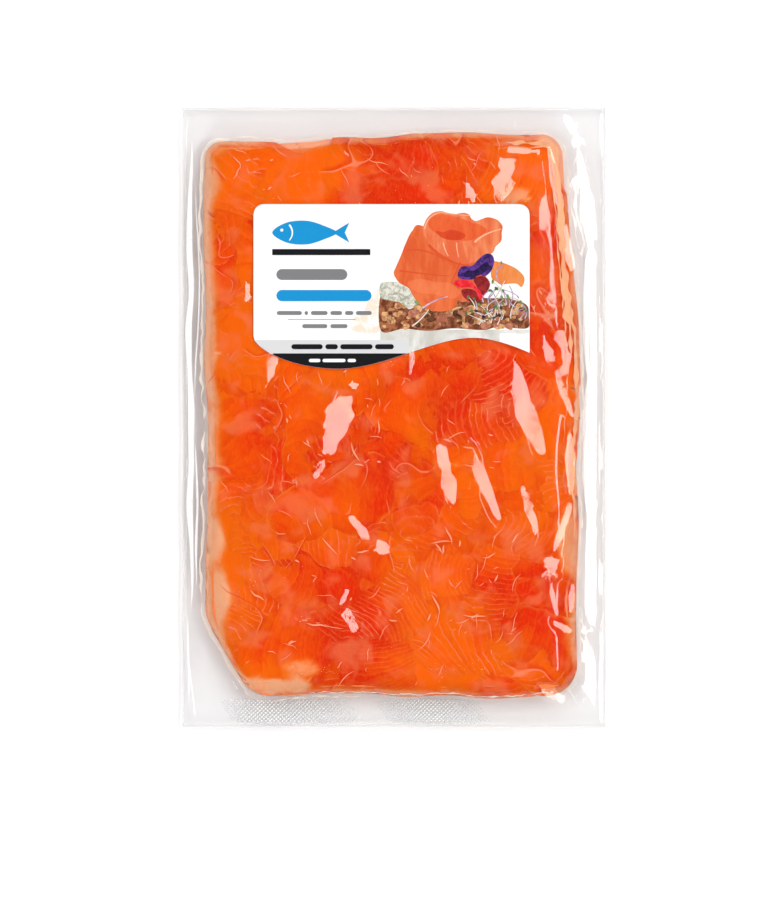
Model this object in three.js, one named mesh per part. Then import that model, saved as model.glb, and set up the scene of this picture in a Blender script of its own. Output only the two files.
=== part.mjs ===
// A vacuum pack of smoked salmon, lying on its back: a clear pouch drawn tight round a slab of slices,
// with a flat sealed margin all round, and a printed label stuck on its face.
// Millimetres. +Z is up out of the pack's face, +Y points to its top edge, and the origin is the middle
// of the pouch's outline, on the surface that the pack lies on.

import * as THREE from "three";
import { mergeVertices } from "three/addons/utils/BufferGeometryUtils.js";

// Driving dimensions of the pouch.
const POUCH_WIDTH = 205;
const POUCH_HEIGHT = 300;
const PACK_THICKNESS = 20;
const FILM_MARGIN_THICKNESS = 0.7;

// The slab of salmon inside it, measured where the two films part.
const SLAB_LEFT = -91.5;
const SLAB_RIGHT = 89.5;
const SLAB_TOP = 138;
const SLAB_BOTTOM = -135;
const CORNER_RADIUS = { topLeft: 9, topRight: 11, bottomRight: 16, bottomLeft: 20 };
const SMALLEST_RADIUS = 2;
const EDGE_WANDER = 1.3; // how far the slab's outline wanders in and out
const WANDER_DEPTH = 40; // the wander has died out this far inside the outline

// The slab isn't a true rectangle: its right side leans in towards the top, its top edge drops to the left,
// and its lower left corner is cut on a slant.
const LEAN = { from: 35, over: 100, by: 8.5 };
const TOP_DROP = { from: 60, over: 142, by: 4.4 };
const SLANT = { from: 92, to: 128, by: 14 };

// Its section, from the line where the films part.
const PARTING_HEIGHT = 5.5;
const SHOULDER_WIDTH = 15;
const SHOULDER_FULLNESS = 2.3;
const HEEL_WIDTH = 6;
const FACE_RELIEF = 0.9; // height of the slices' folds that show through the film
const FOLD_BIAS = 0.5; // hollows reach deeper than folds rise
const FACE_DIP = 0.6; // away from the label the face lies this much lower

// The sealed margin droops from the parting line towards the table, in shallow ripples.
const MARGIN_EDGE_HEIGHT = 2.8;
const MARGIN_RIPPLE = 0.4;
const MARGIN_RIPPLE_LENGTH = 46;

// The label.
const LABEL_LEFT = -67.4;
const LABEL_RIGHT = 65;
const LABEL_TOP = 102.1;
const LABEL_CORNER = 5;
const LABEL_SIDE_END = 38.8; // the left side ends here, above the wave
const LABEL_WAVE = {
  troughX: -26.4,
  troughY: 23.1,
  crestX: 37.8,
  crestY: 38,
  endY: 30.75,
};
const LABEL_THICKNESS = 0.3;
const LABEL_GAP = 0.1; // between the film and the label
const LABEL_FLAT_BORDER = 12; // the relief rises to its full height over this distance from the label

// How finely the pouch is divided.
const STEPS_ACROSS = 20;
const STEPS_ALONG = 30;
const MARGIN_STEPS = 3;
const FACE_INSETS = [0.8, 2.2, 4.5, 8, 12, 17, 24, 33, 43, 54, 66, 78];
const BACK_INSETS = [0.8, 2, 3.8, HEEL_WIDTH, 40];

const slabWidth = SLAB_RIGHT - SLAB_LEFT;
const slabHeight = SLAB_TOP - SLAB_BOTTOM;
const slabCentre = new THREE.Vector2((SLAB_LEFT + SLAB_RIGHT) / 2, (SLAB_TOP + SLAB_BOTTOM) / 2);

const { clamp, lerp, smoothstep } = THREE.MathUtils;

// Points round the edge of a square from -1 to 1, anticlockwise from its lower left corner.
function squareWalk() {
  const walk = [];
  const side = (steps, from, to) => {
    for (let i = 0; i < steps; i += 1) walk.push(new THREE.Vector2().lerpVectors(from, to, i / steps));
  };
  const corners = [
    [-1, -1],
    [1, -1],
    [1, 1],
    [-1, 1],
  ].map(([u, v]) => new THREE.Vector2(u, v));
  corners.forEach((corner, i) => side(i % 2 ? STEPS_ALONG : STEPS_ACROSS, corner, corners[(i + 1) % 4]));
  return walk;
}

function cornerRadius(u, v) {
  if (v > 0) return u > 0 ? CORNER_RADIUS.topRight : CORNER_RADIUS.topLeft;
  return u > 0 ? CORNER_RADIUS.bottomRight : CORNER_RADIUS.bottomLeft;
}

// How far the slab's outline stands out at a point of the walk: the uneven ends of the slices.
function wander(u, v) {
  const turn = Math.atan2(v, u);
  return EDGE_WANDER * (0.6 * Math.sin(5 * turn + 1) + 0.4 * Math.sin(11 * turn) + 0.3 * Math.cos(17 * turn));
}

// The slab's rounded outline, drawn in by an inset: the point of it that belongs to a point of the walk.
function slabPoint({ x: u, y: v }, inset) {
  const halfWidth = slabWidth / 2 - inset;
  const halfHeight = slabHeight / 2 - inset;
  const radius = Math.min(Math.max(cornerRadius(u, v) - inset, SMALLEST_RADIUS), halfWidth);
  const onBox = new THREE.Vector2(u * halfWidth, v * halfHeight);
  const hub = new THREE.Vector2(
    clamp(onBox.x, radius - halfWidth, halfWidth - radius),
    clamp(onBox.y, radius - halfHeight, halfHeight - radius),
  );
  const outward = onBox.clone().sub(hub).normalize();
  const reach = radius + wander(u, v) * Math.max(0, 1 - inset / WANDER_DEPTH);
  return slump(hub.addScaledVector(outward, reach).add(slabCentre));
}

// Moves a point of a rectangular slab to where it lies in this one.
function slump({ x, y }) {
  const right = clamp(x / SLAB_RIGHT, 0, 1);
  const left = clamp(x / SLAB_LEFT, 0, 1);
  const lean = LEAN.by * right * clamp((y - LEAN.from) / LEAN.over, 0, 2) ** 1.5;
  const drop = TOP_DROP.by * clamp((TOP_DROP.from - x) / TOP_DROP.over, 0, 1) * clamp(y / SLAB_TOP, 0, 1) ** 2;
  const slant = SLANT.by * left ** 1.5 * smoothstep(-y, SLANT.from, SLANT.to);
  return new THREE.Vector2(x - lean + slant, y - drop);
}

function pouchPoint({ x: u, y: v }) {
  return new THREE.Vector2((u * POUCH_WIDTH) / 2, (v * POUCH_HEIGHT) / 2);
}

// A quarter of a superellipse, from 0 at the parting line to 1 on the flat.
function shoulder(share) {
  return (1 - (1 - clamp(share, 0, 1)) ** SHOULDER_FULLNESS) ** (1 / SHOULDER_FULLNESS);
}

// 0 under the label, where the film is flat, and 1 well away from it.
function clearOfLabel(x, y) {
  const dx = Math.max(LABEL_LEFT - x, x - LABEL_RIGHT, 0);
  const dy = Math.max(LABEL_WAVE.troughY - y, y - LABEL_TOP, 0);
  return smoothstep(Math.hypot(dx, dy), 1, LABEL_FLAT_BORDER);
}

// The low folds and hollows that overlapping slices leave in the face.
function relief(x, y) {
  const folds =
    0.4 * Math.sin(x / 10.5 + 1.7 * Math.sin(y / 23)) +
    0.35 * Math.sin(y / 8.6 + 1.3 * Math.sin(x / 17)) +
    0.25 * Math.sin((x + 0.6 * y) / 6.8);
  return FACE_RELIEF * (folds - FOLD_BIAS) - FACE_DIP;
}

function faceHeight(x, y, inset) {
  const flat = PACK_THICKNESS + relief(x, y) * clearOfLabel(x, y);
  return lerp(PARTING_HEIGHT + FILM_MARGIN_THICKNESS / 2, flat, shoulder(inset / SHOULDER_WIDTH));
}

function backHeight(inset) {
  return lerp(PARTING_HEIGHT - FILM_MARGIN_THICKNESS / 2, 0, shoulder(inset / HEEL_WIDTH));
}

// Height of the middle of the margin. share runs from 0 at the slab to 1 at the pouch's cut edge.
function marginHeight(x, y, share) {
  const ripple = MARGIN_RIPPLE * Math.sin(x / (MARGIN_RIPPLE_LENGTH / 6) + y / (MARGIN_RIPPLE_LENGTH / 5));
  return lerp(PARTING_HEIGHT, MARGIN_EDGE_HEIGHT + ripple, share);
}

// One closed surface made of rings that run from the middle of the face, over the slab's shoulder, out to
// the margin's cut edge, and back under the pouch to the middle of its back.
function pouchGeometry() {
  const walk = squareWalk();
  const spineInset = slabWidth / 2;
  const ring = (place) => walk.map(place);
  const slabRing = (inset, height) =>
    ring((step) => {
      const { x, y } = slabPoint(step, inset);
      return [x, y, height(x, y, inset)];
    });
  const marginRing = (share, side) =>
    ring((step) => {
      const { x, y } = slabPoint(step, 0).lerp(pouchPoint(step), share);
      return [x, y, marginHeight(x, y, share) + (side * FILM_MARGIN_THICKNESS) / 2];
    });
  // The spine is where the innermost rings close up: a line along the slab's middle.
  const spineRing = (height) =>
    ring(({ y: v }) => {
      const y = slabCentre.y + v * (slabHeight / 2 - spineInset);
      return [slabCentre.x, y, height(slabCentre.x, y, spineInset)];
    });

  const shares = Array.from({ length: MARGIN_STEPS + 1 }, (_, i) => i / MARGIN_STEPS);
  const rings = [
    spineRing(faceHeight),
    ...[...FACE_INSETS].reverse().map((inset) => slabRing(inset, faceHeight)),
    ...shares.map((share) => marginRing(share, 1)),
    ...[...shares].reverse().map((share) => marginRing(share, -1)),
    ...BACK_INSETS.map((inset) => slabRing(inset, (x, y, depth) => backHeight(depth))),
    spineRing(() => 0),
  ];

  const around = walk.length;
  const index = [];
  for (let r = 0; r + 1 < rings.length; r += 1) {
    for (let i = 0; i < around; i += 1) {
      const next = (i + 1) % around;
      const [a, b, c, d] = [r * around + i, (r + 1) * around + i, (r + 1) * around + next, r * around + next];
      index.push(a, b, c, a, c, d);
    }
  }
  const geometry = new THREE.BufferGeometry();
  geometry.setAttribute("position", new THREE.Float32BufferAttribute(rings.flat(2), 3));
  geometry.setIndex(index);
  return withoutCollapsedFaces(mergeVertices(geometry, 1e-3));
}

function withoutCollapsedFaces(geometry) {
  const index = geometry.getIndex().array;
  const kept = [];
  for (let i = 0; i < index.length; i += 3) {
    const [a, b, c] = index.slice(i, i + 3);
    if (a !== b && b !== c && a !== c) kept.push(a, b, c);
  }
  geometry.setIndex(kept);
  geometry.computeVertexNormals();
  return geometry;
}

// The label's outline: two rounded top corners, a rounded lower left one, and a wave for a lower edge.
function labelGeometry() {
  const { troughX, troughY, crestX, crestY, endY } = LABEL_WAVE;
  const outline = new THREE.Shape();
  outline.moveTo(LABEL_LEFT, LABEL_SIDE_END);
  outline.bezierCurveTo(LABEL_LEFT, LABEL_SIDE_END - 5.8, LABEL_LEFT + 17.4, troughY, troughX, troughY);
  outline.bezierCurveTo(troughX + 21.4, troughY, crestX - 18.8, crestY, crestX, crestY);
  outline.bezierCurveTo(crestX + 9.2, crestY, LABEL_RIGHT - 7.5, endY + 3.4, LABEL_RIGHT, endY);
  outline.lineTo(LABEL_RIGHT, LABEL_TOP - LABEL_CORNER);
  outline.absarc(LABEL_RIGHT - LABEL_CORNER, LABEL_TOP - LABEL_CORNER, LABEL_CORNER, 0, Math.PI / 2, false);
  outline.lineTo(LABEL_LEFT + LABEL_CORNER, LABEL_TOP);
  outline.absarc(
    LABEL_LEFT + LABEL_CORNER,
    LABEL_TOP - LABEL_CORNER,
    LABEL_CORNER,
    Math.PI / 2,
    Math.PI,
    false,
  );
  return new THREE.ExtrudeGeometry(outline, {
    depth: LABEL_THICKNESS,
    bevelEnabled: false,
    curveSegments: 16,
  });
}

function pouch() {
  const material = new THREE.MeshStandardMaterial({ color: 0xf4521a, roughness: 0.25, metalness: 0 });
  const mesh = new THREE.Mesh(pouchGeometry(), material);
  mesh.name = "pouch";
  return mesh;
}

function label() {
  const material = new THREE.MeshStandardMaterial({ color: 0xf7f7f7, roughness: 0.5, metalness: 0 });
  const mesh = new THREE.Mesh(labelGeometry(), material);
  mesh.name = "label";
  mesh.position.z = PACK_THICKNESS + LABEL_GAP;
  return mesh;
}

const pack = new THREE.Group();
pack.name = "salmon_pack";
pack.add(pouch(), label());

export default pack;
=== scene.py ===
"""A vacuum pack of smoked salmon: a clear pouch drawn tight over a slab of slices, with a printed label."""

import math
import random

import bmesh
import bpy
import numpy as np
from mathutils import Matrix, Vector


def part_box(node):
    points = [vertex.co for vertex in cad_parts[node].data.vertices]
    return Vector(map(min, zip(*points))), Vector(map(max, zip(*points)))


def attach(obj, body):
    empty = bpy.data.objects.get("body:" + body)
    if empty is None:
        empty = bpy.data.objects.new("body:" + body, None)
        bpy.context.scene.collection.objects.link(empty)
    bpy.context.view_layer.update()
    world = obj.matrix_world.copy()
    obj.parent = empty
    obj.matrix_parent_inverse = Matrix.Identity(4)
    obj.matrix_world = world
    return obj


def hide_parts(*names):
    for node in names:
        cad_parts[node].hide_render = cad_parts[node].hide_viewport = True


bl_info = {
    "name": "Smoked salmon pack",
    "version": (1, 0, 0),
    "blender": (4, 5, 0),
    "location": "View3D > Sidebar > Salmon pack",
    "description": "Builds the film, the salmon slices and the label of a vacuum pack",
    "category": "Add Mesh",
}

MM = 0.001
BODY = "root"
WHITE = (1.0, 1.0, 1.0, 1.0)
# What the flesh's material reads at each point: place along the grain, tone, thinness and strength of lines.
FLESH_ATTRIBUTES = ("grain", "tone", "thin", "lines")
# Edges that turn by more than this, in radians, are crisp.
SHARPEST_SMOOTH = 1.0
# Step over which the slope of a height is measured.
SLOPE_STEP = 0.05 * MM

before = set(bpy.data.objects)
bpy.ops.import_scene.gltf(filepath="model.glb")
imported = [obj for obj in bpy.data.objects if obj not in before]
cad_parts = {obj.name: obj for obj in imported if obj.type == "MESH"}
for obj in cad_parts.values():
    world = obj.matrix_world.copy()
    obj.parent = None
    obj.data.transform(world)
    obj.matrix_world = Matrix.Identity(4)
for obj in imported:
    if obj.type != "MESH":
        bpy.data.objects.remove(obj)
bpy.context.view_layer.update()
POUCH_LOW, POUCH_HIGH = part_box("pouch")
LABEL_LOW, LABEL_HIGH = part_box("label")


# ---------------------------------------------------------------- settings


def length_property(name, description, default):
    """A size in metres, shown in the scene's units."""
    return bpy.props.FloatProperty(
        name=name, description=description, default=default, unit="LENGTH", precision=5
    )


def colour_property(name, description, default):
    """A linear colour with a swatch."""
    return bpy.props.FloatVectorProperty(
        name=name, description=description, default=default, subtype="COLOR", size=3, min=0, max=1
    )


def place_property(name, description, default):
    """A place in the row frame."""
    return bpy.props.FloatVectorProperty(
        name=name, description=description, default=default, subtype="TRANSLATION", unit="LENGTH"
    )


class PouchSettings(bpy.types.PropertyGroup):
    """Sizes of the clear pouch and of the slab in it."""

    margin_left: length_property("Left margin", "Sealed film left of the slab", 11 * MM)
    margin_right: length_property("Right margin", "Sealed film right of the slab", 13 * MM)
    margin_top: length_property("Top margin", "Sealed film above the slab", 12 * MM)
    margin_bottom: length_property("Bottom margin", "Sealed film below the slab", 15 * MM)
    parting_height: length_property("Parting height", "Where the two films part at the slab", 5.5 * MM)
    shoulder: length_property("Shoulder", "Width of the slab's rounded upper edge", 15 * MM)
    film_thickness: length_property("Film", "Thickness of both films where they are welded", 0.5 * MM)
    film_pitch: length_property("Film pitch", "Distance between the points of the front film", 0.95 * MM)
    film_tint: colour_property("Film tint", "What one film lets through", (0.991, 0.989, 0.991))
    dot_pitch: length_property("Seal dots", "Distance between the diamonds pressed into the seal", 2.0 * MM)


class SalmonSettings(bpy.types.PropertyGroup):
    """Sizes and colours of the smoked salmon."""

    layers: bpy.props.IntProperty(
        name="Layers", description="Layers of slices under the ones on the face", default=5, min=2, max=8
    )
    slice_length: length_property("Slice length", "Usual length of a slice", 66 * MM)
    slice_width: length_property("Slice width", "Usual width of a slice", 37 * MM)
    slice_thickness: length_property("Slice thickness", "Thickness of a slice at its middle", 1.3 * MM)
    slice_spacing: length_property("Slice spacing", "Distance between the middles of slices", 20.5 * MM)
    line_spacing: length_property("Fat lines", "Distance between the pale lines in the flesh", 3.9 * MM)
    flesh_red: colour_property("Deep flesh", "Red-orange flesh", (0.77, 0.023, 0.001))
    flesh_orange: colour_property("Light flesh", "Orange flesh", (0.92, 0.122, 0.001))
    flesh_coral: colour_property("Coral flesh", "Pinker flesh in soft clouds", (0.90, 0.175, 0.070))
    flesh_gold: colour_property("Golden flesh", "Golden flesh beside thin edges", (0.92, 0.190, 0.016))
    flesh_pale: colour_property("Thin flesh", "Pale flesh at thin edges", (0.93, 0.40, 0.215))
    fat: colour_property("Fat", "Fat lines", (0.93, 0.30, 0.17))


class LabelSettings(bpy.types.PropertyGroup):
    """Sizes and colours of the label."""

    corner: length_property("Corner", "Radius of the label's corners", 5 * MM)
    print_step: length_property("Print step", "Height of one layer of print over the next", 0.010 * MM)
    paper: colour_property("Paper", "The label's ground", (0.93, 0.93, 0.93))
    black: colour_property("Black", "Black print", (0.004, 0.005, 0.007))
    blue: colour_property("Blue", "Blue print", (0.006, 0.27, 0.60))
    grey: colour_property("Grey", "Grey print", (0.20, 0.20, 0.21))


class StageSettings(bpy.types.PropertyGroup):
    """The floor, lights and camera."""

    camera_height: length_property("Camera height", "Height of the camera over the floor", 1.6)
    view_height: length_property("View height", "How much of the floor the picture covers", 436.9 * MM)
    view_x: length_property("View X", "The middle of the picture, across", -4.1 * MM)
    view_y: length_property("View Y", "The middle of the picture, along", -15.8 * MM)
    key: place_property("Key light", "Place of the light on the right", (0.72, 0.06, 1.32))
    floor: colour_property("Floor", "Pale floor", (0.92, 0.92, 0.92))


SETTINGS = (PouchSettings, SalmonSettings, LabelSettings, StageSettings)


class PackSettings(bpy.types.PropertyGroup):
    """All the settings of the pack."""

    pouch: bpy.props.PointerProperty(type=PouchSettings)
    salmon: bpy.props.PointerProperty(type=SalmonSettings)
    label: bpy.props.PointerProperty(type=LabelSettings)
    stage: bpy.props.PointerProperty(type=StageSettings)


# ---------------------------------------------------------------- shape of the pack


def clip01(value):
    """A value kept between 0 and 1."""
    return np.clip(value, 0.0, 1.0)


def smooth(value, start, end):
    """0 before start, 1 after end, and an even S between."""
    share = clip01((value - start) / (end - start))
    return share * share * (3 - 2 * share)


def held_back(depth, limit, ease):
    """Depths that come close to a limit but never pass it."""
    return (depth + limit - np.hypot(depth - limit, ease)) / 2


def slopes(height, x, y, here):
    """How fast a height grows across and along, from points where it is already known."""
    across = (height(x + SLOPE_STEP, y) - here) / SLOPE_STEP
    along = (height(x, y + SLOPE_STEP) - here) / SLOPE_STEP
    return across, along


def wave_noise(x, y, size, seed, waves=9):
    """Smooth noise, mostly from -1 to 1, about size from one hump to the next."""
    draw = random.Random(seed)
    total = np.zeros_like(np.asarray(x, float) + np.asarray(y, float))
    for _ in range(waves):
        heading = draw.uniform(0, math.tau)
        length = size * draw.uniform(0.7, 1.5)
        phase = draw.uniform(0, math.tau)
        total = total + np.sin((x * math.cos(heading) + y * math.sin(heading)) * math.tau / length + phase)
    return total / math.sqrt(waves)


class Facet:
    """A taut, flat, lens-shaped patch of film that faces half way between the camera and the key light."""

    def __init__(self, slab, stage, u, v, length, width, heading, ragged):
        self.x = slab.centre.x + u * slab.half_width
        self.y = slab.centre.y + v * slab.half_height
        self.length, self.width, self.ragged = length * MM, width * MM, ragged
        self.heading = math.radians(heading)
        middle = Vector((self.x, self.y, slab.face))
        camera = Vector((stage.view_x, stage.view_y, stage.camera_height))
        normal = (camera - middle).normalized() + (Vector(stage.key) - middle).normalized()
        self.slope_x = -normal.x / normal.z
        at = np.array([self.x]), np.array([self.y])
        drop = 0.5 * self.width * abs(self.slope_x)
        self.level = min(float(slab.smooth_cover(*at)[0]), slab.face) - 0.5 * drop

    def inside(self, x, y):
        """Roughly how far points lie inside the patch, negative outside it."""
        dx, dy = x - self.x, y - self.y
        along = (dx * math.cos(self.heading) + dy * math.sin(self.heading)) / (self.length / 2)
        across = (-dx * math.sin(self.heading) + dy * math.cos(self.heading)) / (self.width / 2)
        phase = self.x * 900
        ragged = np.sin(5 * along + phase) + 0.6 * np.sin(11 * along + 3 * across + 2 * phase)
        half = np.sqrt(np.maximum(1 - along**2, 0)) * (1 + self.ragged * ragged) + 0.06
        ends = (1 - np.abs(along)) * self.length / 2
        return np.minimum((half - np.abs(across)) * self.width / 2, ends)

    def plane(self, x, y):
        """Height of the patch's own plane."""
        return self.level + (x - self.x) * self.slope_x


class Slab:
    """The slab of salmon under its film: its outline, and the heights of the film over it."""

    RADII = {"top_left": 9 * MM, "top_right": 11 * MM, "bottom_right": 16 * MM, "bottom_left": 20 * MM}
    SMALLEST_RADIUS = 2 * MM
    WANDER = 1.3 * MM
    WANDER_DEPTH = 40 * MM
    FULLNESS = 2.3
    HEEL = 6 * MM
    HEEL_CLEARANCE = 0.05 * MM
    # The slab isn't a true rectangle: its right side leans in towards the top, its top edge drops to the
    # left, and its lower left corner is cut on a slant. Where each starts, over what length, and how far.
    LEAN = (35 * MM, 100 * MM, 8.5 * MM)
    TOP_DROP = (60 * MM, 142 * MM, 4.4 * MM)
    SLANT = (92 * MM, 36 * MM, 14 * MM)
    FACET_BORDER = 2.6 * MM
    LABEL_GAP = 0.1 * MM
    # The face's relief: height of its folds, how much deeper its hollows reach, and how far it lies below
    # the ground of the label, in millimetres.
    FACE_RELIEF = 0.9
    FOLD_BIAS = 0.5
    FACE_DIP = 0.6
    # Small forms of the film that the solid leaves out.
    RAGGED = 0.40 * MM
    SWELL = 0.07 * MM
    PUCKER = 0.22 * MM
    TUCK = 1.0 * MM
    MOST_OVER_FACE = 0.3 * MM
    # The sealed margin: height of its cut edge, its ripple, and the rib of its side welds.
    CUT_EDGE_HEIGHT = 2.8 * MM
    RIPPLE = 0.4 * MM
    WELD_INSET = 3 * MM
    WELD_WIDTH = 0.7 * MM
    WELD_RIB = 0.12 * MM
    # How far the salmon stops short of the film at the lower left corner.
    BARE = 1.4 * MM
    # Taut patches of film that catch the light. Across and up the slab from -1 to 1, then length, width
    # and heading, in millimetres and degrees, and how ragged each one is.
    FACETS = (
        (-0.292, -0.030, 33, 11.0, 71, 0.20),
        (-0.385, -0.195, 10, 3.2, 62, 0.20),
        (-0.205, 0.100, 7, 3, 22, 0.30),
        (0.290, -0.210, 30, 6.2, 103, 0.26),
        (0.485, -0.238, 41, 5.2, 113, 0.10),
        (0.652, 0.140, 30, 6.0, 117, 0.10),
        (0.722, -0.015, 38, 8.6, 113, 0.12),
        (0.730, -0.335, 24, 4.0, 108, 0.16),
        (-0.172, -0.400, 15, 3.8, 130, 0.18),
        (-0.050, -0.470, 9, 6.0, 38, 0.30),
        (-0.225, -0.720, 14, 4.4, 118, 0.20),
        (-0.253, -0.645, 9, 2.2, 62, 0.10),
        (-0.655, 0.150, 20, 5.2, 63, 0.18),
        (0.093, 0.185, 13, 4.6, 84, 0.12),
        (-0.775, 0.430, 10, 4.2, 96, 0.26),
        (0.600, 0.842, 26, 8.6, 80, 0.30),
        (0.700, 0.925, 25, 2.6, 176, 0.20),
        (0.400, 0.780, 13, 5.6, 142, 0.34),
        (0.873, 0.800, 40, 4.2, 101, 0.14),
        (0.926, 0.600, 28, 4.6, 104, 0.16),
        (0.900, 0.215, 22, 7.4, 96, 0.22),
        (0.822, 0.225, 14, 4.4, 120, 0.14),
        (0.914, 0.070, 24, 2.8, 110, 0.12),
        (0.948, -0.175, 30, 4.2, 91, 0.14),
        (0.905, -0.400, 25, 3.2, 70, 0.12),
        (0.842, -0.545, 13, 6.4, 84, 0.34),
        (0.855, -0.650, 17, 2.2, 103, 0.12),
        (0.905, -0.750, 11, 2.8, 152, 0.20),
        (0.955, -0.650, 15, 2.6, 86, 0.14),
        (0.860, -0.990, 15, 4.4, 152, 0.24),
        (0.985, 0.985, 24, 4.0, 118, 0.34),
        (1.045, 0.760, 50, 5.2, 100, 0.16),
        (1.068, 0.360, 66, 8.0, 90, 0.06),
        (1.068, -0.120, 70, 8.4, 90, 0.05),
        (1.072, -0.560, 52, 6.4, 90, 0.08),
    )
    # Tucks across the slab's foot, where spare film gathers: turn round the slab, length and width.
    TUCKS = (
        (196, 14, 5),
        (214, 15, 6),
        (221, 13, 4),
        (184, 9, 4),
        (232, 10, 4),
        (318, 9, 5),
        (42, 12, 5),
        (150, 8, 4),
    )

    def __init__(self, pack):
        pouch = pack.pouch
        self.left = POUCH_LOW.x + pouch.margin_left
        self.right = POUCH_HIGH.x - pouch.margin_right
        self.bottom = POUCH_LOW.y + pouch.margin_bottom
        self.top = POUCH_HIGH.y - pouch.margin_top
        self.centre = Vector(((self.left + self.right) / 2, (self.bottom + self.top) / 2))
        self.half_width = (self.right - self.left) / 2
        self.half_height = (self.top - self.bottom) / 2
        self.parting = pouch.parting_height
        self.shoulder_width = pouch.shoulder
        self.film = pouch.film_thickness
        self.face = LABEL_LOW.z - self.LABEL_GAP - self.film / 2
        self.facets = [Facet(self, pack.stage, *values) for values in self.FACETS]

    def radius(self, u, v):
        """The radius of the corner on the same side as a point."""
        upper = np.where(u > 0, self.RADII["top_right"], self.RADII["top_left"])
        lower = np.where(u > 0, self.RADII["bottom_right"], self.RADII["bottom_left"])
        return np.where(v > 0, upper, lower)

    def wander(self, u, v):
        """How far the outline stands out, at a direction from the middle."""
        turn = np.arctan2(v, u)
        return self.WANDER * (
            0.6 * np.sin(5 * turn + 1) + 0.4 * np.sin(11 * turn) + 0.3 * np.cos(17 * turn)
        )

    def slump(self, x, y):
        """How far the points of a rectangular slab move to where they lie in this one."""
        right, left = clip01(x / self.right), clip01(x / self.left)
        start, over, by = self.LEAN
        lean = by * right * np.clip((y - start) / over, 0, 2) ** 1.5
        start, over, by = self.TOP_DROP
        drop = by * clip01((start - x) / over) * clip01(y / self.top) ** 2
        start, over, by = self.SLANT
        slant = by * left**1.5 * smooth(-y, start, start + over)
        return slant - lean, -drop

    def inset(self, x, y):
        """How far points lie inside the slab's outline, negative outside it."""
        flat_x, flat_y = x, y
        for _ in range(3):
            move_x, move_y = self.slump(flat_x, flat_y)
            flat_x, flat_y = x - move_x, y - move_y
        u, v = flat_x - self.centre.x, flat_y - self.centre.y
        radius = self.radius(u, v)
        qx = np.abs(u) - self.half_width + radius
        qy = np.abs(v) - self.half_height + radius
        beyond = np.hypot(np.maximum(qx, 0), np.maximum(qy, 0)) + np.minimum(np.maximum(qx, qy), 0)
        inside = radius - beyond
        fade = clip01(1 - inside / self.WANDER_DEPTH)
        return inside + self.wander(u / self.half_width, v / self.half_height) * fade

    def outline(self, u, v, inset):
        """The outline drawn in by an inset: the points that belong to points of the unit square's edge."""
        half_width, half_height = self.half_width - inset, self.half_height - inset
        radius = np.minimum(np.maximum(self.radius(u, v) - inset, self.SMALLEST_RADIUS), half_width)
        box_x, box_y = u * half_width, v * half_height
        hub_x = np.clip(box_x, radius - half_width, half_width - radius)
        hub_y = np.clip(box_y, radius - half_height, half_height - radius)
        away_x, away_y = box_x - hub_x, box_y - hub_y
        size = np.hypot(away_x, away_y)
        reach = radius + self.wander(u, v) * np.maximum(0, 1 - inset / self.WANDER_DEPTH)
        x = hub_x + away_x / size * reach + self.centre.x
        y = hub_y + away_y / size * reach + self.centre.y
        move_x, move_y = self.slump(x, y)
        return x + move_x, y + move_y

    def rise(self, share):
        """The shoulder's section, from 0 at the parting line to 1 on the face."""
        return (1 - (1 - clip01(share)) ** self.FULLNESS) ** (1 / self.FULLNESS)

    def inset_at_height(self, z):
        """How far inside the parting line the shoulder reaches a height."""
        share = max(0.0, min(1.0, (z - self.parting) / (self.face - self.parting)))
        return self.shoulder_width * (1 - (1 - share**self.FULLNESS) ** (1 / self.FULLNESS))

    def clear_of_label(self, x, y, border):
        """0 under the label and 1 beyond a border round it."""
        dx = np.maximum(np.maximum(LABEL_LOW.x - x, x - LABEL_HIGH.x), 0)
        dy = np.maximum(np.maximum(LABEL_LOW.y - y, y - LABEL_HIGH.y), 0)
        return smooth(np.hypot(dx, dy), 1 * MM, border)

    def relief(self, x, y):
        """The hollows and folds that the slices leave in the face."""
        sx, sy = x / MM, y / MM
        folds = (
            0.4 * np.sin(sx / 10.5 + 1.7 * np.sin(sy / 23))
            + 0.35 * np.sin(sy / 8.6 + 1.3 * np.sin(sx / 17))
            + 0.25 * np.sin((sx + 0.6 * sy) / 6.8)
        )
        return (self.FACE_RELIEF * (folds - self.FOLD_BIAS) - self.FACE_DIP) * MM

    def smooth_cover(self, x, y):
        """Height of the film over the slab, and of the margin beyond it, without the taut patches."""
        inset = self.inset(x, y)
        width = self.shoulder_width * (1 + 0.16 * wave_noise(x, y, 60 * MM, 3))
        face = self.face + self.relief(x, y) * self.clear_of_label(x, y, 12 * MM)
        over = self.parting + (face - self.parting) * self.rise(inset / width)
        return np.where(inset > 0, over, self.margin(x, y, -inset))

    def cover(self, x, y):
        """Height of the film over the slab, and of the margin beyond it."""
        z = self.smooth_cover(x, y)
        for facet in self.facets:
            share = clip01((facet.inside(x, y) + self.FACET_BORDER) / self.FACET_BORDER)
            z = z + (facet.plane(x, y) - z) * share
        return np.minimum(z, self.face)

    def margin(self, x, y, outset):
        """Height of the middle of the sealed margin, which droops to its cut edge."""
        edge = np.minimum(
            np.minimum(x - POUCH_LOW.x, POUCH_HIGH.x - x), np.minimum(y - POUCH_LOW.y, POUCH_HIGH.y - y)
        )
        share = clip01(outset / np.maximum(outset + np.maximum(edge, 0), 1e-6))
        ripple = self.RIPPLE * np.sin(x / (7.7 * MM) + y / (9.2 * MM))
        return self.parting + (self.CUT_EDGE_HEIGHT + ripple - self.parting) * share

    def back(self, inset):
        """Height of the film under the slab's heel and back."""
        return self.HEEL_CLEARANCE + (self.parting - self.film) * (1 - self.rise(inset / self.HEEL))

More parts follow.
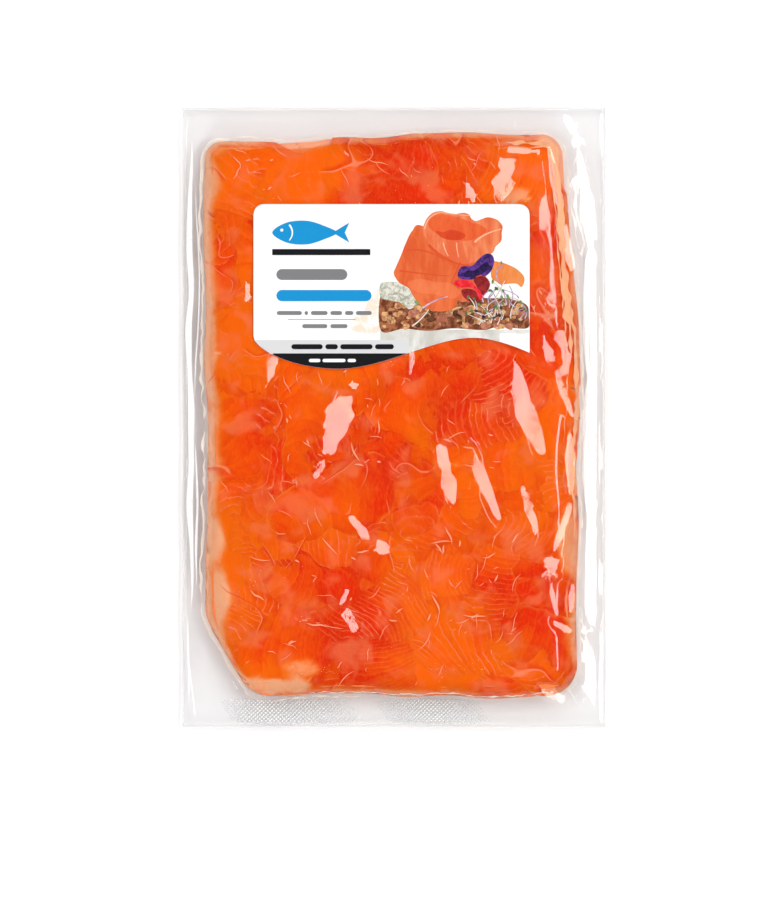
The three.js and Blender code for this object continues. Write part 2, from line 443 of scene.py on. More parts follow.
    def bare_corner(self, x, y):
        """How far the salmon stops short of the film, which it does at the lower left corner."""
        dx = (x - self.centre.x) + 0.62 * self.half_width
        dy = (y - self.centre.y) + self.half_height
        low = self.BARE * np.exp(-np.hypot(dx / (34 * MM), dy / (20 * MM)) ** 2)
        dx, dy = (x - self.left), (y - self.centre.y) + 0.62 * self.half_height
        left = self.BARE * np.exp(-np.hypot(dx / (12 * MM), dy / (34 * MM)) ** 2)
        return (low + left) * (1 + 0.25 * wave_noise(x, y, 9 * MM, 51))

    def front(self, x, y):
        """Heights of the front film, with its small folds and the ribs of the welds."""
        inset = self.inset(x, y)
        calm = np.ones_like(inset)
        for facet in self.facets:
            calm = calm * smooth(-facet.inside(x, y), 0, self.FACET_BORDER)
        ragged = wave_noise(x, y, 7 * MM, 5) * np.exp(-(((inset - 1.5 * MM) / (2.5 * MM)) ** 2))
        on_face = smooth(inset, 6 * MM, 14 * MM) * self.clear_of_label(x, y, 5 * MM)
        swells = self.SWELL * wave_noise(x, y, 12 * MM, 8) * on_face
        small = (self.RAGGED * ragged + swells + self.puckers(x, y, inset)) * calm
        z = self.cover(x, y) + self.film / 2 + small
        return np.minimum(z, self.face + self.MOST_OVER_FACE) + self.welds(x, y)

    def puckers(self, x, y, inset):
        """Small folds that run square to the slab's edge, down its shoulder and out into the margin."""
        u, v = x - self.centre.x, y - self.centre.y
        around = np.arctan2(v / self.half_height, u / self.half_width)
        near = np.exp(-(((inset - 2 * MM) / (3 * MM)) ** 2))
        folds = wave_noise(np.cos(around) * 40, np.sin(around) * 40, 3.0, 17)
        height = self.PUCKER * folds * near
        for turn, length, width in self.TUCKS:
            angle = math.radians(turn)
            gap = np.arctan2(np.sin(around - angle), np.cos(around - angle))
            reach = np.hypot(u, v) * gap / (width * MM / 2)
            along = np.exp(-(((inset + 3 * MM) / (length * MM / 2)) ** 2))
            height = height + self.TUCK * np.maximum(1 - np.abs(reach), 0) * along
        return height

    def welds(self, x, y):
        """Low ribs along the side welds."""
        side = np.minimum(x - POUCH_LOW.x, POUCH_HIGH.x - x)
        return self.WELD_RIB * np.exp(-(((side - self.WELD_INSET) / self.WELD_WIDTH) ** 2))


# ---------------------------------------------------------------- materials


def set_input(tree, socket, value):
    """Links a socket to the one given, or sets it to the constant given."""
    if isinstance(value, bpy.types.NodeSocket):
        tree.links.new(value, socket)
    else:
        socket.default_value = value


def add_node(tree, kind, inputs=None, **settings):
    """A node with its settings, and with its inputs set or linked."""
    made = tree.nodes.new("ShaderNode" + kind)
    for key, value in settings.items():
        setattr(made, key, value)
    for key, value in (inputs or {}).items():
        set_input(tree, made.inputs[key], value)
    return made


def new_material(name):
    """An empty material, its node tree, and the place of a shaded point in the piece's own frame."""
    material = bpy.data.materials.new(name)
    material.use_nodes = True
    tree = material.node_tree
    tree.nodes.clear()
    return material, tree, add_node(tree, "TexCoord").outputs["Object"]


def rgba(colour):
    """A colour with full cover."""
    return (*colour, 1.0)


def attribute(tree, name):
    """A float that the mesh carries at its vertices."""
    return add_node(tree, "Attribute", attribute_name=name).outputs["Fac"]


def math_node(tree, operation, *values, clamp=False):
    """One step of arithmetic."""
    made = add_node(tree, "Math", dict(enumerate(values)), operation=operation, use_clamp=clamp)
    return made.outputs[0]


def times(tree, first, second):
    """The product of two values."""
    return math_node(tree, "MULTIPLY", first, second)


def swing(tree, share, size):
    """A share from 0 to 1, spread evenly round zero."""
    return math_node(tree, "MULTIPLY_ADD", share, size, -size / 2)


def ramp(tree, value, low, high, to_low=0.0, to_high=1.0):
    """A value's range from low to high spread evenly, and smoothly, from to_low to to_high."""
    inputs = {"Value": value, "From Min": low, "From Max": high, "To Min": to_low, "To Max": to_high}
    return add_node(tree, "MapRange", inputs, interpolation_type="SMOOTHSTEP").outputs["Result"]


def mix_colour(tree, share, first, second):
    """The first colour, and the second as far as the share says."""
    return add_node(tree, "Mix", {0: share, 6: first, 7: second}, data_type="RGBA").outputs[2]


def noise(tree, vector, scale, detail=2.0, roughness=0.5, distortion=0.0):
    """Noise from 0 to 1 with about scale humps a metre."""
    inputs = {"Vector": vector, "Scale": scale, "Detail": detail, "Roughness": roughness}
    inputs["Distortion"] = distortion
    return add_node(tree, "TexNoise", inputs).outputs["Fac"]


def stretched(tree, vector, scale, turn=0.0):
    """Places scaled along each axis after a turn about the vertical one."""
    inputs = {"Vector": vector, "Scale": scale, "Rotation": (0, 0, turn)}
    return add_node(tree, "Mapping", inputs).outputs[0]


def bump_node(tree, height, strength, distance):
    """Normals for fine relief."""
    inputs = {"Height": height, "Strength": strength, "Distance": distance}
    return add_node(tree, "Bump", inputs).outputs[0]


def shader_node(tree, kind, **inputs):
    """A shader whose inputs are named with underscores for spaces."""
    named = {key.replace("_", " "): value for key, value in inputs.items()}
    return add_node(tree, "Bsdf" + kind, named).outputs[0]


def mix_shader(tree, share, first, second):
    """The first shader, and the second as far as the share says."""
    return add_node(tree, "MixShader", {0: share, 1: first, 2: second}).outputs[0]


def output(tree, shader):
    """Shows a shader on the surface."""
    add_node(tree, "OutputMaterial", {"Surface": shader})


def flesh_material(salmon):
    """Smoked salmon: red to orange flesh with fine pale fat lines, paler at thin edges, with the painted
    highlights and painted shade of stray film wrinkles.
    """
    material, tree, place = new_material("salmon_flesh")
    grain, tone, thin, lines = (attribute(tree, name) for name in FLESH_ATTRIBUTES)
    red, coral, gold = rgba(salmon.flesh_red), rgba(salmon.flesh_coral), rgba(salmon.flesh_gold)
    fat = rgba(salmon.fat)

    # The grain counts the flakes from one fat line to the next, and drifts a little.
    phase = math_node(tree, "ADD", grain, swing(tree, noise(tree, place, 60, detail=4, roughness=0.65), 2.4))
    flake_number = math_node(tree, "FLOOR", phase)
    flake = add_node(tree, "TexWhiteNoise", {"W": flake_number}, noise_dimensions="1D").outputs["Value"]

    # From red to orange, in broad patches, in blotches and from flake to flake.
    patches = noise(tree, place, 22, detail=3, roughness=0.5, distortion=0.5)
    blotches = noise(tree, place, 130, detail=4, roughness=0.6, distortion=0.8)
    mood = math_node(tree, "ADD", swing(tree, patches, 2.6), tone)
    mood = math_node(tree, "ADD", mood, swing(tree, blotches, 0.7))
    mood = math_node(tree, "ADD", mood, swing(tree, flake, 0.24))
    within_flake = times(tree, math_node(tree, "FRACT", phase), 0.18)
    mood = math_node(tree, "ADD", mood, within_flake, clamp=True)
    flesh = mix_colour(tree, mood, red, rgba(salmon.flesh_orange))
    cloud = noise(tree, place, 75, detail=2, roughness=0.5, distortion=0.3)
    flesh = mix_colour(tree, ramp(tree, cloud, 0.50, 0.70, 0.0, 0.55), flesh, coral)

    # Golden and then pale where it is thin.
    uneven = ramp(tree, blotches, 0.3, 0.62, 0.8, 1.0)
    paleness = math_node(tree, "MULTIPLY", thin, uneven, clamp=True)
    flesh = mix_colour(tree, ramp(tree, paleness, 0.05, 0.5, 0.0, 0.8), flesh, gold)
    flesh = mix_colour(tree, ramp(tree, paleness, 0.25, 0.9), flesh, rgba(salmon.flesh_pale))

    # Fat lines, broken here and there, with a soft band beside each.
    crest = math_node(tree, "COSINE", times(tree, phase, math.tau))
    line = ramp(tree, crest, 0.955, 0.995, 0.0, 0.8)
    broken = ramp(tree, noise(tree, place, 85, detail=3, roughness=0.6), 0.46, 0.60)
    line = times(tree, times(tree, line, broken), lines)
    band = ramp(tree, crest, 0.2, 1.0, 0.0, 0.22)
    flesh = mix_colour(tree, times(tree, band, lines), flesh, coral)
    flesh = mix_colour(tree, line, flesh, fat)

    # Stray film wrinkles painted into the flesh: a painted highlight along a pale ridge, and painted shade in
    # a red groove beside it.
    tangle = math_node(tree, "SUBTRACT", noise(tree, place, 30, detail=1, distortion=0.35), 0.5)
    stray = ramp(tree, noise(tree, place, 52, detail=2), 0.50, 0.60, 0.0, 0.6)
    painted_ridge_highlight = times(tree, ramp(tree, tangle, 0, 0.004), ramp(tree, tangle, 0.006, 0.012, 1, 0))
    painted_groove_shade = times(tree, ramp(tree, tangle, -0.030, -0.004), ramp(tree, tangle, 0, 0.004, 1, 0))
    flesh = mix_colour(tree, times(tree, painted_groove_shade, stray), flesh, red)
    flesh = mix_colour(tree, times(tree, painted_ridge_highlight, stray), flesh, fat)

    # Fine strands.
    strands = noise(tree, stretched(tree, place, (1.0, 0.35, 1.0), 0.5), 1100, detail=3, roughness=0.7)
    flesh = mix_colour(tree, ramp(tree, strands, 0.4, 0.8, 0.0, 0.24), flesh, gold)
    relief = math_node(tree, "ADD", times(tree, line, 0.5), strands)
    shader = shader_node(
        tree,
        "Principled",
        Base_Color=flesh,
        Roughness=0.4,
        Specular_IOR_Level=0.05,
        Normal=bump_node(tree, relief, 0.25, 0.3 * MM),
        Subsurface_Weight=0.15,
        Subsurface_Radius=(1.0, 0.22, 0.06),
        Subsurface_Scale=2.0 * MM,
    )
    output(tree, shader)
    return material


def film_material(pouch):
    """Clear film: it lets nearly all light through, mirrors a little, and more at a glancing angle."""
    material, tree, place = new_material("clear_film")
    facing = add_node(tree, "LayerWeight", {"Blend": 0.5}).outputs["Facing"]
    grazing = math_node(tree, "POWER", facing, 5.0)
    mirror = math_node(tree, "MULTIPLY_ADD", grazing, 0.2, 0.044, clamp=True)

    # Fine crinkles in some places, over low swells.
    where = ramp(tree, noise(tree, place, 45, detail=2), 0.52, 0.64)
    tangle = noise(tree, place, 260, detail=3, distortion=1.0)
    thread = math_node(tree, "ABSOLUTE", math_node(tree, "SUBTRACT", tangle, 0.5))
    crinkle = times(tree, ramp(tree, thread, 0.0, 0.03, 1.0, 0.0), where)
    swells = noise(tree, place, 160, detail=2)
    relief = math_node(tree, "MULTIPLY_ADD", swells, 0.25, times(tree, crinkle, 0.3))
    normal = bump_node(tree, relief, 0.4, 0.25 * MM)

    clear = shader_node(tree, "Transparent", Color=rgba(pouch.film_tint))
    gloss = shader_node(tree, "Glossy", Color=WHITE, Roughness=0.05, Normal=normal)
    sheen = shader_node(tree, "Glossy", Color=WHITE, Roughness=0.32, Normal=normal)
    output(tree, mix_shader(tree, mirror, mix_shader(tree, 0.005, clear, sheen), gloss))
    return material


def frosted_material(name, colour, solid):
    """Film that has been folded, pressed or cut, so that it no longer looks clear. On the creases and streaks
    its pale colour is a painted highlight.
    """
    material, tree, place = new_material(name)
    clear = shader_node(tree, "Transparent", Color=(0.97, 0.97, 0.97, 1))
    speckle = noise(tree, place, 700, detail=2)
    rough = ramp(tree, speckle, 0.3, 0.7, 0.3, 0.5)
    frost = shader_node(
        tree, "Principled", Base_Color=rgba(colour), Roughness=rough, Specular_IOR_Level=0.2
    )
    share = ramp(tree, speckle, 0.25, 0.75, solid * 0.9, solid)
    output(tree, mix_shader(tree, share, clear, frost))
    return material


def pressed_material():
    """Film pressed by the sealing bar: white where the diamonds stand, and clear elsewhere."""
    material, tree, place = new_material("pressed_film")
    speckle = noise(tree, place, 500, detail=2)
    clear = shader_node(tree, "Transparent", Color=WHITE)
    frost = shader_node(tree, "Principled", Base_Color=WHITE, Roughness=0.4)
    uneven = ramp(tree, speckle, 0.3, 0.6, 1.0, 1.5)
    share = math_node(tree, "MULTIPLY", attribute(tree, "press"), uneven, clamp=True)
    output(tree, mix_shader(tree, share, clear, frost))
    return material


def print_material(name, first, second=None, scale=300.0, contrast=(0.4, 0.6), stretch=(1, 1, 1)):
    """Satin print. Two inks mottle into each other where a second is given."""
    material, tree, place = new_material(name)
    mottle = noise(tree, stretched(tree, place, stretch), scale, detail=4, roughness=0.65, distortion=0.6)
    tooth = noise(tree, place, 2600, detail=2)
    second = first if second is None else second
    ink = mix_colour(tree, ramp(tree, mottle, *contrast), rgba(first), rgba(second))
    ink = mix_colour(tree, ramp(tree, tooth, 0.3, 0.7, 0.0, 0.02), ink, (0.5, 0.5, 0.5, 1))
    normal = bump_node(tree, tooth, 0.08, 0.02 * MM)
    shader = shader_node(
        tree, "Principled", Base_Color=ink, Roughness=0.42, Specular_IOR_Level=0.15, Normal=normal
    )
    output(tree, shader)
    return material


def floor_material(colour):
    """A pale floor with hardly any shade in it."""
    material, tree, place = new_material("pale_floor")
    shade = ramp(tree, noise(tree, place, 3, detail=1), 0.2, 0.8, 0.0, 0.02)
    base = mix_colour(tree, shade, rgba(colour), WHITE)
    output(tree, shader_node(tree, "Principled", Base_Color=base, Roughness=0.9))
    return material


# ---------------------------------------------------------------- making pieces


def finish_piece(bm, name, material, replaces=None, smooth_faces=True):
    """Turns a bmesh into a piece of the pack, in place."""
    for face in bm.faces:
        face.smooth = smooth_faces
    mesh = bpy.data.meshes.new(name)
    bm.to_mesh(mesh)
    bm.free()
    mesh.materials.append(material)
    piece = bpy.data.objects.new(name, mesh)
    bpy.context.scene.collection.objects.link(piece)
    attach(piece, BODY)
    if replaces:
        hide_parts(replaces)


def plan_of(verts):
    """Plan coordinates of bmesh vertices as two arrays."""
    flat = np.array([vert.co[:2] for vert in verts], float)
    return flat[:, 0], flat[:, 1]


def move_to(verts, *coordinates):
    """Moves bmesh vertices to places given as three arrays."""
    for vert, *place in zip(verts, *coordinates):
        vert.co = place


def new_verts(made):
    """The vertices among what a bmesh operator has made."""
    return [item for item in made["geom"] if isinstance(item, bmesh.types.BMVert)]


class PackOperator:
    """What the pack's operators share."""

    bl_options = {"REGISTER", "UNDO"}

    @property
    def pack(self):
        """The pack's settings."""
        return bpy.context.scene.salmon_pack


def leaf_template(along, across):
    """A closed flat leaf: x and y from -1 to 1, z 0 on its face and -1 on its underside, and a crisp rim."""
    bm = bmesh.new()
    bmesh.ops.create_grid(bm, x_segments=along, y_segments=across, size=1.0)
    lowered = new_verts(bmesh.ops.extrude_face_region(bm, geom=bm.faces[:], use_keep_orig=True))
    bmesh.ops.translate(bm, vec=(0, 0, -1), verts=lowered)
    bmesh.ops.recalc_face_normals(bm, faces=bm.faces)
    for edge in bm.edges:
        edge.smooth = edge.calc_face_angle() < SHARPEST_SMOOTH
    mesh = bpy.data.meshes.new("leaf_template")
    bm.to_mesh(mesh)
    bm.free()
    return mesh


def add_leaf(bm, template, place, layers=None):
    """Adds a leaf. place turns its coordinates into positions, a thickness and attribute values."""
    start = len(bm.verts)
    bm.from_mesh(template)
    bm.verts.ensure_lookup_table()
    verts = bm.verts[start:]
    flat = np.array([vert.co[:] for vert in verts])
    x, y, z, thickness, values = place(flat[:, 0], flat[:, 1])
    move_to(verts, x, y, z + flat[:, 2] * thickness)
    for name, layer in (layers or {}).items():
        for vert, value in zip(verts, values[name]):
            vert[layer] = float(value)


def leaves_piece(name, along, across, places, material):
    """A piece of film made of one leaf for each place."""
    bm = bmesh.new()
    template = leaf_template(along, across)
    for place in places:
        add_leaf(bm, template, place)
    bpy.data.meshes.remove(template)
    finish_piece(bm, name, material)


class SALMONPACK_OT_layers(PackOperator, bpy.types.Operator):
    """Add the layers of slices that lie under those on the face"""

    bl_idname = "salmon_pack.layers"
    bl_label = "Salmon layers"

    SEED = 41
    SEGMENTS = 360
    # Height of the first layer's underside and of the last one's top, and the gap between two.
    FIRST = 0.35 * MM
    LAST = 15.0 * MM
    GAP = 0.02 * MM
    ROUNDING = 0.35 * MM
    FILM_GAP = 0.3 * MM
    # How much wider than usual the shoulder is at its widest.
    WIDEST_SHOULDER = 1.35
    # How pale the layers are: the last one lies right under the slices.
    DEEP_PALLOR = 0.95
    LAST_PALLOR = 0.5

    def execute(self, context):
        slab = Slab(self.pack)
        salmon = self.pack.salmon
        bm = bmesh.new()
        grain, tone, thin, lines = (bm.verts.layers.float.new(name) for name in FLESH_ATTRIBUTES)
        draw = random.Random(self.SEED)
        pitch = (self.LAST - self.FIRST) / salmon.layers
        for number in range(salmon.layers):
            low = self.FIRST + number * pitch
            high = low + pitch - self.GAP
            start = set(bm.verts)
            self.layer(bm, slab, low, high, seed=number)
            shade = draw.uniform(0.3, 0.9)
            for vert in set(bm.verts) - start:
                vert[tone] = shade
                vert[thin] = self.LAST_PALLOR if number == salmon.layers - 1 else self.DEEP_PALLOR
                vert[lines] = 0.0
                vert[grain] = (vert.co.x + 0.6 * vert.co.y) / (salmon.line_spacing * 1.6)
        finish_piece(bm, "salmon_layers", flesh_material(salmon), "pouch")
        return {"FINISHED"}

    def layer(self, bm, slab, low, high, seed):
        """One flat layer with a wandering, rounded edge, clear of the film round it."""
        ring = bmesh.ops.create_circle(bm, cap_ends=True, segments=self.SEGMENTS, radius=1.0)["verts"]
        heel = slab.HEEL * max(0.0, 1 - low / slab.parting) ** 1.6
        clear = max(self.WIDEST_SHOULDER * slab.inset_at_height(high), heel) + self.FILM_GAP
        u, v = plan_of(ring)
        across = np.maximum(np.abs(u), np.abs(v))
        u, v = u / across, v / across
        turn = np.arctan2(v, u)
        uneven = wave_noise(np.cos(turn) * 3, np.sin(turn) * 3, 1.0, seed)
        fine = wave_noise(np.cos(turn) * 9, np.sin(turn) * 9, 1.0, seed + 20)
        inset = clear + np.maximum(0.5 * uneven + 0.2 * fine + 0.6, 0.1) * MM
        edge_x, edge_y = slab.outline(u, v, 0.0)
        x, y = slab.outline(u, v, inset + 0.08 * slab.bare_corner(edge_x, edge_y))
        move_to(ring, x, y, np.full_like(x, low))
        base = ring[0].link_faces[0]
        top = new_verts(bmesh.ops.extrude_face_region(bm, geom=[base], use_keep_orig=True))
        bmesh.ops.translate(bm, vec=(0, 0, high - low), verts=top)
        shell = {face for vert in ring + top for face in vert.link_faces}
        bmesh.ops.recalc_face_normals(bm, faces=list(shell))
        caps = [face for face in shell if len(face.verts) > 4]
        rims = [edge for face in caps for edge in face.edges]
        bmesh.ops.bevel(
            bm, geom=rims, offset=self.ROUNDING, segments=2, profile=0.5, affect="EDGES", material=-1
        )


class SALMONPACK_OT_slices(PackOperator, bpy.types.Operator):
    """Add the slices that show on the face and hang over the shoulder"""

    bl_idname = "salmon_pack.slices"
    bl_label = "Salmon slices"

    # Cells along and across a slice.
    ALONG = 22
    ACROSS = 12
    FILM_GAP = 0.35 * MM
    EDGE_GAP = 0.6 * MM
    # Size of the patches in which the edge is paler.
    PATCH_SIZE = 26 * MM
    # No slice has its middle nearer to the slab's edge than this.
    NEAREST_MIDDLE = 3 * MM
    SEED = 7
    # Middles of slices that fill gaps between the others, in millimetres.
    FILLERS = ((27, -87),)
    # Where the flesh is thin and pale: middle and reach across and along, in millimetres, and how pale.
    PALE_SPOTS = (
        (-85, -87, 8, 19, 0.95),
        (-87, -60, 7, 15, 1.0),
        (-45, -121, 12, 5.5, 0.6),
        (-58, -129, 24, 4.5, 1.0),
        (-88, 131, 9, 8, 0.55),
        (-88, 40, 4, 26, 0.7),
        (84, -60, 7, 20, 0.7),
    )

    def execute(self, context):
        self.slab = Slab(self.pack)
        self.salmon = self.pack.salmon
        self.draw_lots = random.Random(self.SEED)
        template = leaf_template(self.ALONG, self.ACROSS)
        bm = bmesh.new()
        layers = {name: bm.verts.layers.float.new(name) for name in FLESH_ATTRIBUTES}
        for x, y in self.places():
            add_leaf(bm, template, self.slice(x, y), layers)
        bpy.data.meshes.remove(template)
        finish_piece(bm, "salmon_slices", flesh_material(self.salmon), "pouch")
        return {"FINISHED"}

    def places(self):
        """Middles of the slices: a shaken grid over the face, in a shuffled order."""
        slab, draw = self.slab, self.draw_lots
        columns = round(2 * slab.half_width / self.salmon.slice_spacing)
        rows = round(2 * slab.half_height / self.salmon.slice_spacing)
        places = []
        for row in range(rows):
            for column in range(columns):
                u = (column + 0.5 + draw.uniform(-0.4, 0.4)) / columns
                v = (row + 0.5 + draw.uniform(-0.4, 0.4)) / rows
                places.append((slab.left + u * 2 * slab.half_width, slab.bottom + v * 2 * slab.half_height))
        draw.shuffle(places)
        places = [place for place in places if slab.inset(*np.array(place)) > self.NEAREST_MIDDLE]
        return places + [(x * MM, y * MM) for x, y in self.FILLERS]

    def slice(self, x, y):
        """The form of one slice, with its middle at a point of the face."""
        slab, salmon, draw = self.slab, self.salmon, self.draw_lots
        length = salmon.slice_length * draw.uniform(0.55, 1.3)
        width = salmon.slice_width * draw.uniform(0.65, 1.15)
        heading = draw.uniform(0, math.tau)
        bend = draw.uniform(-0.35, 0.35) * width
        squareness = draw.uniform(2.0, 4.0)
        seed = draw.randrange(10**6)
        tilt_along = draw.uniform(-0.9, 0.9)
        tilt_across = draw.uniform(-0.9, 0.9)
        lift = draw.uniform(0.05, 1.1)
        spacing = salmon.line_spacing * draw.uniform(0.55, 1.5)
        curve = draw.uniform(0.5, 2.0) * draw.choice((-1, 1))
        fan = draw.uniform(-0.5, 0.5)
        start = draw.random() * 7
        tone_shift = draw.uniform(-0.26, 0.26)
        rim_pallor = draw.uniform(0.0, 1.0)
        line_strength = max(0.0, draw.uniform(-0.7, 1.0))

        def place(a, b):
            taper = (1 - 0.97 * np.abs(a) ** squareness) ** 0.6
            uneven = 1 + 0.16 * wave_noise(a, np.sign(b), 0.9, seed)
            uneven = uneven + 0.06 * wave_noise(a * 3, np.sign(b), 0.9, seed)
            along = a * length / 2
            across = b * taper * uneven * width / 2 + bend * a * a
            px = x + along * math.cos(heading) - across * math.sin(heading)
            py = y + along * math.sin(heading) + across * math.cos(heading)
            px, py = self.keep_inside(px, py)

            rim = np.maximum(np.abs(a), np.abs(b))
            depth = lift + 0.5 * (tilt_along * a + tilt_across * b)
            depth = depth + 0.16 * wave_noise(along, across, 16 * MM, seed + 1)
            depth = np.maximum(depth, 0) + 0.5 * smooth(rim, 0.7, 1.0)
            inset = slab.inset(px, py)
            steep = smooth(inset, 0, slab.shoulder_width * 0.8)
            pz = slab.cover(px, py) - self.FILM_GAP - depth * MM * (0.35 + 0.65 * steep)
            thickness = salmon.slice_thickness * (1 - 0.6 * smooth(rim, 0.75, 1.0))

            edge = (1 - smooth(inset, 1 * MM, self.pale_width(px, py))) * self.edge_pallor(px, py)
            edge = np.maximum(edge, self.pale_spots(px, py))
            values = {
                "grain": along / spacing * (1 + fan * b) + curve * b * b + start,
                "tone": self.tone(px, py) + tone_shift,
                "thin": edge + 0.4 * smooth(rim, 0.85, 1.0) * rim_pallor,
                "lines": line_strength * (1 - 0.7 * edge),
            }
            return px, py, pz, thickness, values

        return place

    def keep_inside(self, x, y):
        """Moves points that lie too near the slab's edge, or beyond it, back inside."""
        slab = self.slab
        for _ in range(3):
            inset = slab.inset(x, y)
            gx, gy = slopes(slab.inset, x, y, inset)
            size = np.maximum(np.hypot(gx, gy), 1e-6)
            short = np.maximum(self.EDGE_GAP + slab.bare_corner(x, y) - inset, 0)
            x = x + short * gx / size
            y = y + short * gy / size
        return x, y

    def tone(self, x, y):
        """0 red to 1 orange: the slab is more orange to the left, at the top and at the bottom."""
        u = (x - self.slab.centre.x) / self.slab.half_width
        v = (y - self.slab.centre.y) / self.slab.half_height
        across = 0.28 * np.abs(u) ** 5 - 0.24 * u
        along = 0.26 * np.maximum(v, 0) ** 3 + 0.05 * np.maximum(-v, 0) ** 3
        return 0.38 + across + along + 0.22 * wave_noise(x, y, 70 * MM, 12)

    def edge_pallor(self, x, y):
        """How pale the flesh is at the slab's edge: most at the left, uneven all round."""
        u = (x - self.slab.centre.x) / self.slab.half_width
        patchy = 0.5 + 0.5 * wave_noise(x, y, self.PATCH_SIZE, 19)
        left = smooth(-u, 0.6, 0.95)
        return clip01(0.65 + 0.35 * left) * clip01(patchy + 0.4 + 0.35 * left)

    def pale_spots(self, x, y):
        """How pale the flesh is in the places where only one thin slice lies over the edge."""
        pallor = np.zeros_like(x)
        for middle_x, middle_y, reach_x, reach_y, most in self.PALE_SPOTS:
            away = np.hypot((x / MM - middle_x) / reach_x, (y / MM - middle_y) / reach_y)
            ragged = away + 0.08 * wave_noise(x, y, 14 * MM, 63)
            pallor = np.maximum(pallor, most * (1 - smooth(ragged, 0.5, 1.15)))
        return pallor

    def pale_width(self, x, y):
        """How far in from the edge the flesh is pale: further at the left."""
        left = smooth(-(x - self.slab.centre.x) / self.slab.half_width, 0.6, 0.95)
        return (7 + 3.5 * left + 3 * wave_noise(x, y, 34 * MM, 77)) * MM


class SALMONPACK_OT_film(PackOperator, bpy.types.Operator):
    """Add the clear pouch: a front film with its wrinkles, closed by the back film"""

    bl_idname = "salmon_pack.film"
    bl_label = "Clear film"

    # The back film's rings: shares of the way in from the cut edge to the slab, then insets under it.
    MARGIN_SHARES = (0.0, 0.35, 0.7, 0.97)
    BACK_INSETS = (0.7 * MM, 1.6 * MM, 2.8 * MM, 4.4 * MM, 6.0 * MM)
    # The front film stops this far short of the solid's cut edge, both sides together.
    TRIM = 0.8 * MM
    # The margin's underside is nowhere lower than this.
    LOWEST = 0.1 * MM
    # Points nearer to a taut patch's outline than this share of the pitch are moved on to it.
    SNAP_SHARE = 0.5

    def execute(self, context):
        pouch = self.pack.pouch
        slab = Slab(self.pack)
        bm = bmesh.new()
        width, height = POUCH_HIGH.x - POUCH_LOW.x, POUCH_HIGH.y - POUCH_LOW.y
        columns, rows = round(width / pouch.film_pitch), round(height / pouch.film_pitch)
        bmesh.ops.create_grid(bm, x_segments=columns, y_segments=rows, size=0.5)
        bmesh.ops.scale(bm, vec=(width - self.TRIM, height - self.TRIM, 1), verts=bm.verts)
        rim = [edge for edge in bm.edges if edge.is_boundary]
        verts = list(bm.verts)
        x, y = plan_of(verts)
        x, y, snapped = self.snap_to_facets(slab, x, y, pouch.film_pitch)
        move_to(verts, x, y, slab.front(x, y))
        self.crease_facets(bm, {vert for vert, is_on in zip(verts, snapped) if is_on})
        self.close_behind(bm, slab, rim)
        bmesh.ops.recalc_face_normals(bm, faces=bm.faces)
        finish_piece(bm, "pouch_film", film_material(pouch), "pouch")
        return {"FINISHED"}

    def snap_to_facets(self, slab, x, y, pitch):
        """Moves the points nearest to a taut patch's outline onto it, so that its edge is clean."""
        snapped = np.zeros(len(x), bool)
        for facet in slab.facets:
            near = np.hypot(x - facet.x, y - facet.y) < facet.length * 0.6 + 3 * pitch
            near &= ~snapped
            px, py = x[near], y[near]
            inside = facet.inside(px, py)
            gx, gy = slopes(facet.inside, px, py, inside)
            size = np.maximum(np.hypot(gx, gy), 0.3)
            away = inside / size
            on = np.abs(away) < self.SNAP_SHARE * pitch
            x[near] = np.where(on, px - away * gx / size, px)
            y[near] = np.where(on, py - away * gy / size, py)
            snapped[np.flatnonzero(near)[on]] = True
        return x, y, snapped

    def crease_facets(self, bm, on_outline):
        """Makes the outlines of the taut patches sharp, across the corners of cells too."""
        for face in list(bm.faces):
            corners = face.verts[:]
            for first, second in ((0, 2), (1, 3)):
                if corners[first] in on_outline and corners[second] in on_outline:
                    if corners[first - 1] not in on_outline and corners[second - 1] not in on_outline:
                        bmesh.utils.face_split(face, corners[first], corners[second])
                        break
        for edge in bm.edges:
            if edge.verts[0] in on_outline and edge.verts[1] in on_outline:
                edge.smooth = False

    def close_behind(self, bm, slab, rim):
        """The back film: rings carried in from the cut edge, under the heel, to the flat back."""
        corners = {vert: vert.co.copy() for edge in rim for vert in edge.verts}
        edges = rim
        for share in self.MARGIN_SHARES:
            edges, corners = self.carry(bm, edges, corners, lambda x, y: self.under(slab, x, y, share))
        for inset in self.BACK_INSETS:
            edges, corners = self.carry(bm, edges, corners, lambda x, y: self.heel(slab, x, y, inset))
        bmesh.ops.edgeloop_fill(bm, edges=edges)

    def carry(self, bm, edges, corners, place):
        """Extrudes a ring, and puts each new point where its own point of the cut edge says."""
        made = bmesh.ops.extrude_edge_only(bm, edges=edges)
        verts = new_verts(made)
        origin_at = {vert.co.copy().freeze(): origin for vert, origin in corners.items()}
        origins = [origin_at[vert.co.copy().freeze()] for vert in verts]
        x, y = np.array([o.x for o in origins]), np.array([o.y for o in origins])
        move_to(verts, *place(x, y))
        ring = set(verts)
        edges = [item for item in made["geom"] if isinstance(item, bmesh.types.BMEdge)]
        edges = [edge for edge in edges if set(edge.verts) <= ring]
        return edges, dict(zip(verts, origins))

    def on_square(self, x, y):
        """The points of the unit square's edge that points of the cut edge belong to."""
        u, v = x / POUCH_HIGH.x, y / POUCH_HIGH.y
        reach = np.maximum(np.abs(u), np.abs(v))
        return u / reach, v / reach

    def under(self, slab, x, y, share):
        """Points on the underside of the margin, a share of the way in to the slab."""
        foot_x, foot_y = slab.outline(*self.on_square(x, y), 0.0)
        x, y = x + (foot_x - x) * share, y + (foot_y - y) * share
        return x, y, np.maximum(slab.smooth_cover(x, y) - slab.film / 2, self.LOWEST)

    def heel(self, slab, x, y, inset):
        """Points under the slab, at an inset from its outline."""
        x, y = slab.outline(*self.on_square(x, y), inset)
        return x, y, np.full_like(x, float(slab.back(inset)))


